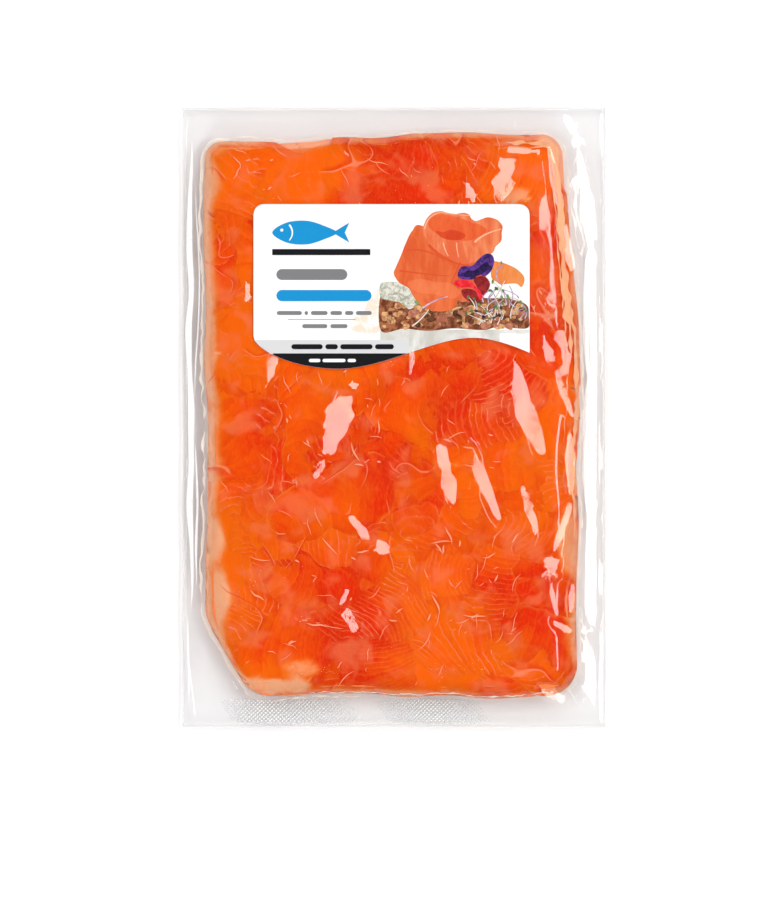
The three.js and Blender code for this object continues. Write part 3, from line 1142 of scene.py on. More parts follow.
class SALMONPACK_OT_creases(PackOperator, bpy.types.Operator):
    """Add the fine creases in the film, coloured as painted highlights: short ones on the face, and long ones
    round the slab's foot
    """

    bl_idname = "salmon_pack.creases"
    bl_label = "Film creases"

    SEED = 23
    # Where short creases crowd: across and up the slab from -1 to 1, reach in millimetres, and number.
    CLUSTERS = (
        (-0.70, 0.88, 14, 12),
        (-0.10, 0.86, 22, 10),
        (0.45, 0.86, 16, 8),
        (-0.50, 0.00, 18, 12),
        (-0.15, -0.08, 14, 10),
        (0.10, 0.05, 24, 12),
        (0.35, -0.15, 26, 14),
        (-0.55, -0.35, 26, 12),
        (-0.35, -0.62, 24, 14),
        (0.20, -0.55, 24, 14),
        (0.60, -0.50, 22, 14),
        (0.45, -0.75, 26, 18),
        (-0.55, -0.80, 22, 8),
        (0.00, -0.90, 34, 12),
        (0.80, 0.40, 12, 5),
    )
    # Long creases round the foot: first and last turn in degrees, inset, scallop and width in millimetres.
    # A scallop below zero swings outwards, on to the flat margin.
    EDGES = (
        (99, 128, -0.45, -0.4, 0.5),
        (118, 233, -1.05, -0.8, 1.0),
        (233, 262, -0.55, -0.4, 0.6),
        (243, 312, 1.7, 0.45, 0.4),
        (306, 420, -0.6, -0.5, 0.6),
        (58, 104, -0.45, -0.4, 0.5),
    )
    # Those with an inset below zero lie on the margin: none comes further in than this, so that it doesn't
    # climb the slab's steep side, and each one eases off over the second distance.
    FURTHEST_IN = 0.03 * MM
    EASE = 0.15 * MM
    # Long creases in the right shoulder, coloured as painted highlights, with the same numbers.
    SHOULDERS = (
        (12, 55, 5.2, 0.5, 2.6),
        (-24, 20, 3.0, 0.5, 1.6),
        (-6, 56, 7.6, 0.4, 0.45),
    )
    # Long streaks of painted reflection in the side margins: distance out from the middle, start and end up
    # the pack, and width, in millimetres.
    STREAKS = (
        (-98.6, -92, 134, 2.8),
        (-95.2, 8, 112, 0.7),
        (-95.6, -82, -12, 1.0),
        (-99.8, -140, -96, 1.0),
        (94.6, -60, 100, 0.9),
    )

    # Short creases keep this far from the slab's edge.
    EDGE_CLEARANCE = 5 * MM
    # Painted highlights: the colours that light caught in folded film takes on over the flesh, over the
    # margin and in the shoulder.
    CORAL_HIGHLIGHT = (0.98, 0.32, 0.17)
    CREAM_HIGHLIGHT = (1.0, 0.90, 0.80)
    GOLDEN_HIGHLIGHT = (0.97, 0.44, 0.23)
    # Cells along and across a short crease, a long one and a streak.
    SHORT = (12, 2)
    LONG = (260, 2)
    STREAK = (120, 4)
    THICKNESS = 0.06 * MM
    STREAK_THICKNESS = 0.05 * MM

    def execute(self, context):
        self.slab = Slab(self.pack)
        self.draw_lots = random.Random(self.SEED)
        # Short creases on the face, coral as a painted highlight of wrinkles catching the light.
        coral = frosted_material("painted_crease_highlight", self.CORAL_HIGHLIGHT, 1.0)
        leaves_piece("face_crease_highlights", *self.SHORT, self.short_creases(), coral)
        # Long creases round the foot, cream as a painted highlight where the film's kink at the foot catches
        # the light.
        cream = frosted_material("painted_fold_highlight", self.CREAM_HIGHLIGHT, 1.0)
        foot = (self.edge_crease(*values) for values in self.EDGES)
        leaves_piece("foot_crease_highlights", *self.LONG, foot, cream)
        # Long creases in the right shoulder, golden as a painted highlight of the shoulder's film.
        golden = frosted_material("painted_shoulder_highlight", self.GOLDEN_HIGHLIGHT, 1.0)
        shoulder = (self.edge_crease(*values) for values in self.SHOULDERS)
        leaves_piece("shoulder_crease_highlights", *self.LONG, shoulder, golden)
        # White streaks in the side margins: a painted reflection of the lights in the film's folds.
        white = frosted_material("painted_streak_reflection", WHITE[:3], 0.9)
        streaks = (self.streak(*values) for values in self.STREAKS)
        leaves_piece("margin_streak_reflections", *self.STREAK, streaks, white)
        return {"FINISHED"}

    def short_creases(self):
        """The short creases, one after another; those of a cluster run roughly the same way."""
        draw = self.draw_lots
        for u, v, reach, number in self.CLUSTERS:
            heading = draw.uniform(0, math.pi)
            for _ in range(number):
                x, y = self.spot(u, v, reach * MM)
                yield self.short_crease(x, y, heading + draw.gauss(0, 0.5))

    def spot(self, u, v, reach):
        """A place near the middle of a cluster, and clear of the slab's edge."""
        slab, draw = self.slab, self.draw_lots
        while True:
            x = slab.centre.x + u * slab.half_width + draw.gauss(0, 0.6) * reach
            y = slab.centre.y + v * slab.half_height + draw.gauss(0, 0.6) * reach
            if slab.inset(*np.array((x, y))) > self.EDGE_CLEARANCE:
                return x, y

    def short_crease(self, x, y, heading):
        """The form of a short, slightly bent crease on the face."""
        slab, draw = self.slab, self.draw_lots
        length = draw.choice((2.5, 4, 5, 7, 10)) * draw.uniform(0.7, 1.2) * MM
        width = draw.choice((0.28, 0.34, 0.4, 0.75)) * draw.uniform(0.8, 1.2) * MM
        bend, waves = draw.uniform(-0.3, 0.3), draw.uniform(0, 0.06)

        def place(a, b):
            along = a * length / 2
            across = b * width / 2 * (1.02 - a * a) + (bend * a * a + waves * np.sin(a * 5)) * length / 2
            px = x + along * math.cos(heading) - across * math.sin(heading)
            py = y + along * math.sin(heading) + across * math.cos(heading)
            pz = slab.front(px, py) + (0.1 - 0.06 * np.abs(b)) * MM
            return px, py, pz, self.THICKNESS, {}

        return place

    def edge_crease(self, first, last, inset, scallop, widest):
        """The form of a long crease that swings in scallops beside the slab's outline."""
        slab, seed = self.slab, self.draw_lots.randrange(1000)
        first, last = math.radians(first), math.radians(last)

        def place(a, b):
            turn = first + (a + 1) / 2 * (last - first)
            u, v = np.cos(turn), np.sin(turn)
            reach = np.maximum(np.abs(u), np.abs(v))
            wide = np.abs(wave_noise(turn * 60, 0 * turn, 7.0, seed)) * 1.2
            fine = 0.3 * wave_noise(turn * 60, 0 * turn, 1.8, seed + 1) / (0.5 + widest)
            uneven = 1 + 0.6 * wave_noise(turn * 60, 0 * turn, 3.0, seed + 2)
            width = 0.5 * widest * (1.02 - a**8) * uneven
            depth = (inset + scallop * (wide - 0.5 + fine) + b * np.maximum(width, 0.05)) * MM
            if inset < 0:
                depth = held_back(depth, self.FURTHEST_IN, self.EASE)
            px, py = slab.outline(u / reach, v / reach, depth)
            pz = slab.front(px, py) + (0.12 - 0.06 * np.abs(b)) * MM
            return px, py, pz, self.THICKNESS, {}

        return place

    def streak(self, middle, start, end, width):
        """The form of a long streak that runs up a side margin."""
        slab, seed = self.slab, self.draw_lots.randrange(1000)

        def place(a, b):
            py = (start + (a + 1) / 2 * (end - start)) * MM
            sway = 0.5 * wave_noise(py, 0 * py, 60 * MM, seed)
            uneven = 1 + 0.3 * wave_noise(py, np.sign(b) * 9, 30 * MM, seed + 1)
            px = (middle + sway + b * width / 2 * (1.02 - a**4) * uneven) * MM
            pz = slab.front(px, py) + (0.1 - 0.04 * np.abs(b)) * MM
            return px, py, pz, self.STREAK_THICKNESS, {}

        return place


class SALMONPACK_OT_seal_band(PackOperator, bpy.types.Operator):
    """Add the band of small diamonds pressed into the seal below the slab"""

    bl_idname = "salmon_pack.seal_band"
    bl_label = "Seal band"

    STEPS_PER_DIAMOND = 6
    HEIGHT = 0.16 * MM
    OVER_FILM = 0.08 * MM
    THICKNESS = 0.05 * MM
    # Where the strength is less than this, the film is left plain.
    WEAKEST = 0.04
    # Distance from the cut edge, the slab, and the slab's left and right sides.
    EDGE_GAP = 1.2 * MM
    SLAB_GAP = 0.9 * MM
    LEFT_GAP = 6 * MM
    RIGHT_GAP = 10 * MM
    # Where the diamonds are strongest: place across and reach in millimetres, and strength.
    PATCHES = ((-62, 11, 1.0), (-38, 14, 0.28), (19, 15, 0.65))

    def execute(self, context):
        pouch = self.pack.pouch
        slab = Slab(self.pack)
        low, high = POUCH_LOW.y + self.EDGE_GAP, slab.bottom - self.SLAB_GAP
        left, right = slab.left + self.LEFT_GAP, slab.right - self.RIGHT_GAP
        step = pouch.dot_pitch / self.STEPS_PER_DIAMOND
        bm = bmesh.new()
        press = bm.verts.layers.float.new("press")
        columns, rows = round((right - left) / step), round((high - low) / step)
        verts = bmesh.ops.create_grid(bm, x_segments=columns, y_segments=rows, size=0.5)["verts"]
        bmesh.ops.scale(bm, vec=(right - left, high - low, 1), verts=verts)
        bmesh.ops.translate(bm, vec=((left + right) / 2, (low + high) / 2, 0), verts=verts)
        x, y = plan_of(verts)
        across = (x + (y - (low + high) / 2) * 0.6) / MM
        strength = np.zeros_like(x)
        for middle, reach, strong in self.PATCHES:
            strength = strength + strong * np.exp(-(((across - middle) / reach) ** 2))
        strength = strength * smooth(y - low, 0, 2 * MM) * smooth(high - y, 0, 1.5 * MM)
        turns = math.tau / pouch.dot_pitch
        diamonds = smooth(np.abs(np.sin(turns * (x + y) / 2) * np.sin(turns * (x - y) / 2)), 0.35, 0.85)
        z = slab.front(x, y) + self.OVER_FILM + self.HEIGHT * diamonds * strength
        for vert, vz in zip(verts, z):
            vert.co.z = vz
        for vert, share in zip(verts, strength * diamonds):
            vert[press] = float(share)
        bare = [vert for vert, strong in zip(verts, strength) if strong < self.WEAKEST]
        bmesh.ops.delete(bm, geom=bare, context="VERTS")
        bmesh.ops.solidify(bm, geom=bm.faces[:], thickness=self.THICKNESS)
        finish_piece(bm, "seal_band", pressed_material())
        return {"FINISHED"}


class SALMONPACK_OT_cut_edge(PackOperator, bpy.types.Operator):
    """Add the welded rim that runs round the pouch's cut edge: its pale grey is partly the weld's own frosted
    look and partly a painted highlight along the edge
    """

    bl_idname = "salmon_pack.cut_edge"
    bl_label = "Cut edge"

    STEPS = 120
    # Half its width, and how much it is thicker than the film.
    RADIUS = 0.26 * MM
    EXTRA = 0.1 * MM

    def execute(self, context):
        slab = Slab(self.pack)
        left, right = POUCH_LOW.x + self.RADIUS, POUCH_HIGH.x - self.RADIUS
        low, high = POUCH_LOW.y + self.RADIUS, POUCH_HIGH.y - self.RADIUS
        corners = ((left, low), (right, low), (right, high), (left, high))
        sides = [self.side(slab, start, end) for start, end in zip(corners, corners[1:] + corners[:1])]
        # Pale grey frosted rim: partly the weld's own look, partly a painted highlight of the cut edge.
        leaves_piece("cut_edge", self.STEPS, 2, sides, frosted_material("cut_film_and_highlight", (0.90, 0.90, 0.92), 0.6))
        return {"FINISHED"}

    def side(self, slab, start, end):
        """The form of the rim along one side of the pouch."""
        start, end = Vector(start), Vector(end)
        heading = (end - start).normalized()

        def place(a, b):
            share = (a + 1) / 2
            px = start.x + (end.x - start.x) * share - heading.y * b * self.RADIUS
            py = start.y + (end.y - start.y) * share + heading.x * b * self.RADIUS
            pz = slab.smooth_cover(px, py) + slab.film / 2 + (0.12 - 0.1 * np.abs(b)) * MM
            return px, py, pz, slab.film + self.EXTRA, {}

        return place


# ---------------------------------------------------------------- label


class LabelSheet:
    """The label's outline and height, in millimetres right of and down from its upper left corner."""

    # How far the sheet lies below the CAD label's top, and how high it swells.
    LOWERED = 0.08 * MM
    SWELL = 0.05 * MM
    # The wave in its lower edge, in millimetres: where the trough and the crest are across the row frame,
    # and how far the crest and the two ends lie above the trough.
    TROUGH_X = -26.4
    CREST_X = 37.8
    CREST = 14.9
    LEFT_END = 15.7
    RIGHT_END = 7.65
    ARC_STEPS = 24

    def __init__(self, label):
        self.corner = label.corner
        self.width = LABEL_HIGH.x - LABEL_LOW.x
        self.wave = self.lower_edge()

    def lower_edge(self):
        """The wavy lower edge as plan points from left to right, on three Bezier arcs."""
        left, right, low = LABEL_LOW.x, LABEL_HIGH.x, LABEL_LOW.y
        start = Vector((left, low + self.LEFT_END * MM))
        trough = Vector((self.TROUGH_X * MM, low))
        crest = Vector((self.CREST_X * MM, low + self.CREST * MM))
        end = Vector((right, low + self.RIGHT_END * MM))
        arcs = (
            (start, start - Vector((0, 5.8 * MM)), Vector((left + 17.4 * MM, low)), trough),
            (trough, trough + Vector((21.4 * MM, 0)), crest - Vector((18.8 * MM, 0)), crest),
            (crest, crest + Vector((9.2 * MM, 0)), end + Vector((-7.5 * MM, 3.4 * MM)), end),
        )
        points = []
        for p0, p1, p2, p3 in arcs:
            for i in range(self.ARC_STEPS):
                t = i / self.ARC_STEPS
                points.append(
                    p0 * (1 - t) ** 3 + 3 * p1 * t * (1 - t) ** 2 + 3 * p2 * t * t * (1 - t) + p3 * t**3
                )
        points.append(arcs[-1][-1])
        return np.array([tuple(p) for p in points])

    def lower(self, x):
        """The lower edge."""
        return np.interp(x, self.wave[:, 0], self.wave[:, 1])

    def upper(self, x):
        """The upper edge, which drops round the two corners."""
        over = np.maximum(
            np.maximum(LABEL_LOW.x + self.corner - x, x - (LABEL_HIGH.x - self.corner)), 0
        )
        return LABEL_HIGH.y - self.corner + np.sqrt(np.maximum(self.corner**2 - over**2, 0))

    def height(self, x, y):
        """The sheet's top, which follows the film in low swells."""
        return LABEL_HIGH.z - self.LOWERED + self.SWELL * wave_noise(x, y, 45 * MM, 31)

    def place(self, right, down):
        """A point of the row frame from millimetres right of and down from the upper left corner."""
        return Vector((LABEL_LOW.x + right * MM, LABEL_HIGH.y - down * MM))


class SALMONPACK_OT_label(PackOperator, bpy.types.Operator):
    """Add the label's white sheet"""

    bl_idname = "salmon_pack.label"
    bl_label = "Label sheet"

    COLUMNS = 90
    ROWS = 40
    THICKNESS = 0.2 * MM

    def execute(self, context):
        label = self.pack.label
        sheet = LabelSheet(label)
        bm = bmesh.new()
        verts = bmesh.ops.create_grid(bm, x_segments=self.COLUMNS, y_segments=self.ROWS, size=0.5)["verts"]
        a, b = plan_of(verts)
        a = np.sign(a) * (0.5 - (0.5 - np.abs(a)) ** 1.35 * 0.5 / 0.5**1.35)
        x = LABEL_LOW.x + (a + 0.5) * sheet.width
        low, high = sheet.lower(x), sheet.upper(x)
        y = low + (b + 0.5) * (high - low)
        move_to(verts, x, y, sheet.height(x, y))
        faces = list(bm.faces)
        if sum(face.normal.z for face in faces) < 0:
            bmesh.ops.reverse_faces(bm, faces=faces)
        bmesh.ops.solidify(bm, geom=faces, thickness=self.THICKNESS)
        finish_piece(bm, "label_sheet", print_material("label_paper", label.paper), "label")
        return {"FINISHED"}


def rounded_bar(right, down, length, height, radius=None, steps=5):
    """Outline of a bar with round ends, or with rounder or squarer corners where a radius is given."""
    radius = min(height / 2 if radius is None else radius, height / 2, length / 2)
    left, right = right + radius, right + length - radius
    upper, lower = down + radius, down + height - radius
    points = []
    for corner, (cx, cy) in enumerate(((right, lower), (left, lower), (left, upper), (right, upper))):
        for i in range(steps + 1):
            angle = math.pi / 2 * (corner + i / steps)
            points.append((cx + radius * math.cos(angle), cy + radius * math.sin(angle)))
    return points


def soft_outline(knots, steps=7):
    """A closed smooth curve through a few knots."""
    points = []
    count = len(knots)
    for i in range(count):
        p0, p1, p2, p3 = (Vector(knots[(i + k - 1) % count]) for k in range(4))
        for step in range(steps):
            t = step / steps
            points.append(
                0.5
                * (
                    2 * p1
                    + (p2 - p0) * t
                    + (2 * p0 - 5 * p1 + 4 * p2 - p3) * t * t
                    + (3 * p1 - p0 - 3 * p2 + p3) * t**3
                )
            )
    return [tuple(p) for p in points]


def ribbon(knots, width, steps=8):
    """Outline of a thin curved stem through three knots."""
    p0, p1, p2 = (Vector(k) for k in knots)
    left, right = [], []
    for i in range(steps + 1):
        t = i / steps
        point = p0 * (1 - t) ** 2 + 2 * p1 * t * (1 - t) + p2 * t * t
        heading = (2 * (p1 - p0) * (1 - t) + 2 * (p2 - p1) * t).normalized()
        side = Vector((-heading.y, heading.x)) * width / 2 * (1 - 0.5 * t)
        left.append(tuple(point + side))
        right.append(tuple(point - side))
    return left + right[::-1]


def oval(right, down, length, height, turn=0.0, steps=14):
    """Outline of an oval turned by some degrees."""
    angle = math.radians(turn)
    points = []
    for i in range(steps):
        a = math.tau * i / steps
        px, py = length / 2 * math.cos(a), height / 2 * math.sin(a)
        across = px * math.cos(angle) - py * math.sin(angle)
        along = px * math.sin(angle) + py * math.cos(angle)
        points.append((right + across, down + along))
    return points


class SALMONPACK_OT_label_print(PackOperator, bpy.types.Operator):
    """Add the fields of colour and simple shapes printed on the label"""

    bl_idname = "salmon_pack.label_print"
    bl_label = "Label print"

    # Print is cut up until no edge is longer than this, or this many times, so that it follows the sheet.
    LONGEST_EDGE = 6 * MM
    MOST_CUTS = 3
    WORDS_SEED = 5
    BED_SEED = 9
    SPROUTS_SEED = 12
    SPROUTS = 38
    # How the two inks of the salmon mottle: in long soft streaks.
    GRAIN = {"scale": 150, "contrast": (0.36, 0.66), "stretch": (1.0, 0.3, 1.0)}
    # The pieces of the bed: name, number and two inks.
    CRUMBS = (
        ("crumbs_brown", 46, (0.34, 0.11, 0.05), (0.16, 0.04, 0.016)),
        ("crumbs_gold", 78, (0.72, 0.42, 0.19), (0.46, 0.20, 0.08)),
        ("crumbs_pink", 26, (0.52, 0.21, 0.13), (0.36, 0.11, 0.07)),
        ("crumbs_dark", 18, (0.06, 0.018, 0.010), (0.14, 0.045, 0.02)),
    )

    def execute(self, context):
        self.label = self.pack.label
        self.sheet = LabelSheet(self.label)
        self.level = 0
        self.bands()
        self.words()
        self.fish_mark()
        self.bed()
        self.salmon_drape()
        self.salmon_roll()
        self.salmon_folds()
        self.petals()
        self.sprouts()
        return {"FINISHED"}

    def print_shapes(self, name, outlines, *inks, **mottle):
        """One layer of print: outlines in label millimetres, laid on the sheet."""
        self.level += 1
        bm = bmesh.new()
        for outline in outlines:
            places = [self.sheet.place(*point) for point in outline]
            verts = [bm.verts.new((p.x, p.y, 0)) for p in places]
            bm.faces.new(verts).normal_update()
        bmesh.ops.triangulate(bm, faces=bm.faces)
        for _ in range(self.MOST_CUTS):
            long_edges = [edge for edge in bm.edges if edge.calc_length() > self.LONGEST_EDGE]
            if long_edges:
                bmesh.ops.subdivide_edges(bm, edges=long_edges, cuts=1)
                bmesh.ops.triangulate(bm, faces=[face for face in bm.faces if len(face.verts) > 3])
        verts = list(bm.verts)
        x, y = plan_of(verts)
        for vert, vz in zip(verts, self.sheet.height(x, y)):
            vert.co.z = vz + self.level * self.label.print_step
        for face in bm.faces:
            face.normal_update()
        bmesh.ops.reverse_faces(bm, faces=[face for face in bm.faces if face.normal.z < 0])
        material = print_material(f"ink_{name}", *inks, **mottle)
        finish_piece(bm, f"print_{name}", material, smooth_faces=False)

    def print_curve(self, name, knots, *inks, **mottle):
        """One layer of print with a single smooth outline."""
        self.print_shapes(name, [soft_outline(knots)], *inks, **mottle)

    def wave_below(self, right):
        """How far down the label's wavy edge is, in label millimetres."""
        x = LABEL_LOW.x + right * MM
        return float(LABEL_HIGH.y - self.sheet.lower(np.array([x]))[0]) / MM

    def band(self, start, end, top, steps=40):
        """A strip from a straight top down to the label's edge."""
        rights = [start + (end - start) * i / steps for i in range(steps + 1)]
        lower = [(r, max(self.wave_below(r) - 0.05, top + 0.05)) for r in rights]
        return [(start, top), *lower, (end, top)]

    def bands(self):
        """The bed's pale ghost under the words, the plate, and the strips along the wave."""
        ghost = ((47.6, 60.6), (48, 55), (52.5, 52), (55.5, 45), (58, 42.4), (60.7, 42), (60.7, 60.6))
        self.print_curve("ghost", ghost, (0.84, 0.72, 0.60), (0.93, 0.89, 0.84), scale=160)
        plate = [self.band(60.8, 132.2, 60.2)]
        plate_mottle = {"scale": 60, "contrast": (0.35, 0.65)}
        self.print_shapes("plate", plate, (0.55, 0.53, 0.48), (0.78, 0.77, 0.74), **plate_mottle)
        shine = [self.band(118, 132.2, 62.0)]
        shine_mottle = {"scale": 120, "contrast": (0.3, 0.6)}
        self.print_shapes("shine", shine, (0.80, 0.79, 0.77), (0.93, 0.93, 0.93), **shine_mottle)
        self.print_shapes("band_grey", [self.band(0.3, 74.6, 65.2)], (0.66, 0.66, 0.67))
        self.print_shapes("band_black", [self.band(9.4, 73.2, 71.6)], self.label.black)

    def words(self):
        """Plain bars where a label has its words."""
        label = self.label
        draw = random.Random(self.WORDS_SEED)

        def line(right, down, height, lengths, gap):
            """Bars of some lengths in a row."""
            bars = []
            for length in lengths:
                bars.append(rounded_bar(right, down, length, height))
                right += length + gap + draw.uniform(-0.1, 0.1)
            return bars

        self.print_shapes("title_grey", line(11.0, 31.2, 5.2, (34,), 2), label.grey)
        self.print_shapes("title_blue", line(11.0, 41.2, 5.4, (45.6,), 2), label.blue)
        small = line(11.2, 51.3, 1.9, (12, 1.6, 8, 5.6, 4, 7.6), 1.3) + line(23.4, 57.6, 1.9, (12, 8.2), 1.4)
        rule = [rounded_bar(16.6, 55.2, 32.4, 0.28)]
        self.print_shapes("small_grey", small + rule, label.grey)
        self.print_shapes("band_words", line(18.2, 67.2, 2.4, (15, 6, 15.5, 9), 1.2), label.black)
        self.print_shapes("band_white", line(26.6, 74.2, 1.6, (5.5, 11, 4), 1.0), label.paper)

    def fish_mark(self):
        """A plain fish over a bar."""
        upper = ((9, 13.7), (16, 8.9), (26, 8.1), (35, 10.9), (40, 13.2))
        lower = ((40, 14.2), (35, 16.5), (26, 19.3), (16, 18.5))
        tail = [(38, 13.7), (46, 8.9), (43.8, 13.7), (46, 18.5)]
        self.print_shapes("mark_blue", [soft_outline(upper + lower), tail], self.label.blue)
        self.print_shapes("mark_black", [rounded_bar(9, 21.6, 47, 2.9, 0.2)], self.label.black)
        gill = ribbon(((17.2, 9.9), (20.2, 13.7), (17.2, 17.5)), 0.9)
        self.print_shapes("mark_white", [oval(13.6, 12.5, 1.5, 1.5), gill], self.label.paper)

    def bed(self):
        """A bed of brown pieces with a spoon of cream."""
        draw = random.Random(self.BED_SEED)
        top = ((60.8, 44.5), (66, 45.5), (71, 47.5), (76, 48), (84, 49), (92, 47), (98, 44), (104, 42))
        right = ((111, 45), (119, 45), (125, 46), (131, 48.5), (132, 54), (131, 59.6))
        low = ((118, 58.8), (110, 60.4), (96, 59.6), (84, 60.8), (72, 59.8), (61.2, 60.8))
        bed_mottle = {"scale": 330, "contrast": (0.40, 0.60)}
        self.print_curve("bed", top + right + low, (0.13, 0.032, 0.012), (0.38, 0.13, 0.055), **bed_mottle)
        for name, number, *inks in self.CRUMBS:
            crumbs = []
            for _ in range(number):
                right, down = draw.uniform(62.5, 129), draw.uniform(48, 59)
                crumbs.append(self.crumb(draw, right, max(down, 51 - 0.14 * abs(right - 96))))
            self.print_shapes(name, crumbs, *inks, scale=500, contrast=(0.42, 0.58))
        upper = ((60.8, 38.5), (64, 37.4), (69.5, 37.6), (73.4, 40), (76.5, 43.4))
        lower = ((77.4, 48.2), (74.6, 50.4), (71, 47.6), (66.5, 46.4), (61, 44.8))
        self.print_curve("cream", upper + lower, (0.36, 0.36, 0.28), (0.72, 0.70, 0.62), scale=420)

    def crumb(self, draw, right, down):
        """A small uneven piece."""
        size = draw.uniform(1.0, 2.6)
        knots = []
        for i in range(6):
            angle = math.tau * i / 6
            reach = size * draw.uniform(0.55, 1.1)
            knots.append((right + reach * math.cos(angle), down + 0.75 * reach * math.sin(angle)))
        return soft_outline(knots, 3)

    def salmon_drape(self):
        """A slice of salmon draped over the bed, with its end and the glow in its folds."""
        left = ((81, 10.5), (76, 13), (72.7, 19.5), (71, 24), (68.4, 30), (67.3, 33.4), (69.8, 37.6))
        foot = ((74.4, 40.4), (76.5, 44), (79.2, 47.8), (82.4, 49.8), (86, 51), (90.6, 51.6))
        right = ((94.8, 50.6), (96.5, 49.4), (98.2, 45.6), (100, 43.4), (98.8, 41.8), (95.8, 39.8))
        inner = ((95.2, 37.6), (98, 35.4), (101, 30), (100, 22))
        shade = ((96, 24), (104, 26), (113, 25.4), (112, 33), (108, 41), (101, 47), (97, 44), (94, 34))
        end_top = ((114.6, 28), (118.6, 28), (122.4, 29.2), (126.2, 31.2), (129.4, 34.4), (129.8, 37.2))
        end_low = ((128.4, 39.8), (126.2, 38.2), (122.4, 38.2), (118.6, 38.6), (116.4, 37.2), (114, 35))
        glow_top = ((74, 37.4), (80, 36), (88, 37.4), (94.4, 38), (99, 42))
        glow_low = ((96, 45.4), (88, 43.6), (80.6, 42.8), (75.4, 40.4))
        for name, knots, *inks in (
            ("salmon_shade", shade, (0.58, 0.085, 0.025), (0.70, 0.15, 0.06)),
            ("salmon_drape", left + foot + right + inner, (0.66, 0.095, 0.022), (0.76, 0.16, 0.05)),
            ("salmon_end", end_top + end_low, (0.74, 0.20, 0.045), (0.80, 0.27, 0.075)),
            ("salmon_glow", glow_top + glow_low, (0.74, 0.145, 0.045), (0.79, 0.19, 0.07)),
        ):
            self.print_curve(name, knots, *inks, **self.GRAIN)

    def salmon_roll(self):
        """A rolled slice on top, with its hollow."""
        back = ((81.3, 13), (81.8, 9.8), (83.4, 6.6), (86.1, 4.2), (89.9, 3.4), (93, 4.2), (96.8, 4.8))
        knob = ((100.6, 4.2), (103.2, 5), (104.4, 7), (106.6, 8.2), (109, 7.4), (112.2, 6.4), (115.4, 7))
        front = ((117.6, 8.2), (119.4, 10.8), (119, 13.6), (119, 16.4), (118.4, 18.2), (116, 20.6), (115, 23))
        under = ((112.8, 24.4), (109.6, 26), (105.4, 28), (101, 29), (97.8, 28.6), (93.6, 26), (89.4, 23.6))
        side = ((85, 20.6), (82.6, 16.4))
        inner_top = ((83.6, 10), (85, 6.8), (89.2, 4.9), (95.8, 5.8), (101, 7.4), (104.8, 9), (108.2, 9.8))
        inner_end = ((111.8, 12.4), (109.6, 14.8), (106.4, 16.6), (102.6, 17.6), (97.8, 17.4))
        inner_low = ((92.6, 17), (89.4, 15.2), (86, 13))
        deep_top = ((87.4, 13), (91, 13.4), (94.6, 12.4), (98.6, 13.2), (101.6, 15))
        deep_low = ((99, 17.2), (94, 17.2), (90, 16))
        for name, knots, *inks in (
            ("salmon_roll", back + knob + front + under + side, (0.72, 0.12, 0.04), (0.79, 0.25, 0.105)),
            ("salmon_inside", inner_top + inner_end + inner_low, (0.70, 0.080, 0.018), (0.76, 0.13, 0.035)),
            ("salmon_deep", deep_top + deep_low, (0.60, 0.045, 0.010), (0.68, 0.070, 0.016)),
        ):
            self.print_curve(name, knots, *inks, **self.GRAIN)

    def salmon_folds(self):
        """Dark folds in the drape and pale rims on the roll: three knots and a width each."""
        folds = (
            (((84, 19.6), (92, 28.6), (103, 29.4)), 1.3),
            (((73.5, 22), (84, 21), (92, 27.5)), 0.9),
            (((70, 32), (80, 33.4), (94, 34.6)), 0.8),
            (((99, 28), (97, 33), (94.6, 38)), 0.8),
        )
        rims = (
            (((82, 12), (83, 5.4), (90, 3.8)), 0.7),
            (((90, 3.9), (98, 5.4), (104.2, 5.6)), 0.5),
            (((106, 18.4), (110, 14), (118.8, 12)), 0.9),
            (((91, 18.6), (91.6, 22), (93.4, 25)), 0.7),
            (((97.4, 18.6), (97.4, 22), (98.4, 25.4)), 0.6),
        )
        self.print_shapes("salmon_folds", [ribbon(*fold) for fold in folds], (0.66, 0.075, 0.018))
        self.print_shapes("salmon_rims", [ribbon(*rim) for rim in rims], (0.84, 0.42, 0.25))

    def petals(self):
        """A purple flower over a dark and a red leaf."""
        left = ((98.2, 35), (98.2, 32.4), (100, 30), (104.8, 29.6), (108, 26.4), (111.2, 24), (114, 24.2))
        right = ((115.4, 27), (114.4, 31.2), (112.4, 33.8), (110.4, 34.6))
        low = ((108, 33.8), (105.4, 36), (101, 36.2))
        self.print_curve("petal", left + right + low, (0.025, 0.009, 0.085), (0.11, 0.035, 0.26), scale=260)
        upper = ((100.6, 34.6), (102.4, 32), (106, 31.8), (109.6, 29))
        lower = ((112.2, 27.6), (112.8, 30.6), (110, 33.2), (105.6, 35))
        self.print_curve("petal_dark", upper + lower, (0.008, 0.003, 0.035), (0.03, 0.008, 0.09), scale=300)
        big = ((105.6, 36.2), (109, 34.6), (112, 35.6), (113.4, 38.8))
        big = big + ((111.6, 42.6), (110, 43.8), (107.6, 40.4))
        small = ((100, 41), (105, 41), (108, 43.6), (108.4, 46.2), (104.6, 47), (100.6, 44.4))
        leaves = [soft_outline(big), soft_outline(small)]
        self.print_shapes("leaf_dark", leaves, (0.17, 0.006, 0.008), (0.34, 0.02, 0.025), scale=400)
        upper = ((95.8, 37.8), (99, 36.2), (103.8, 36.8), (106.2, 39.2), (108.2, 41), (109.8, 43.8))
        lower = ((109.4, 45.8), (108, 45.2), (106.4, 41.6), (103.8, 40), (99, 40))
        self.print_curve("leaf", upper + lower, (0.70, 0.010, 0.020), (0.84, 0.04, 0.05), scale=400)

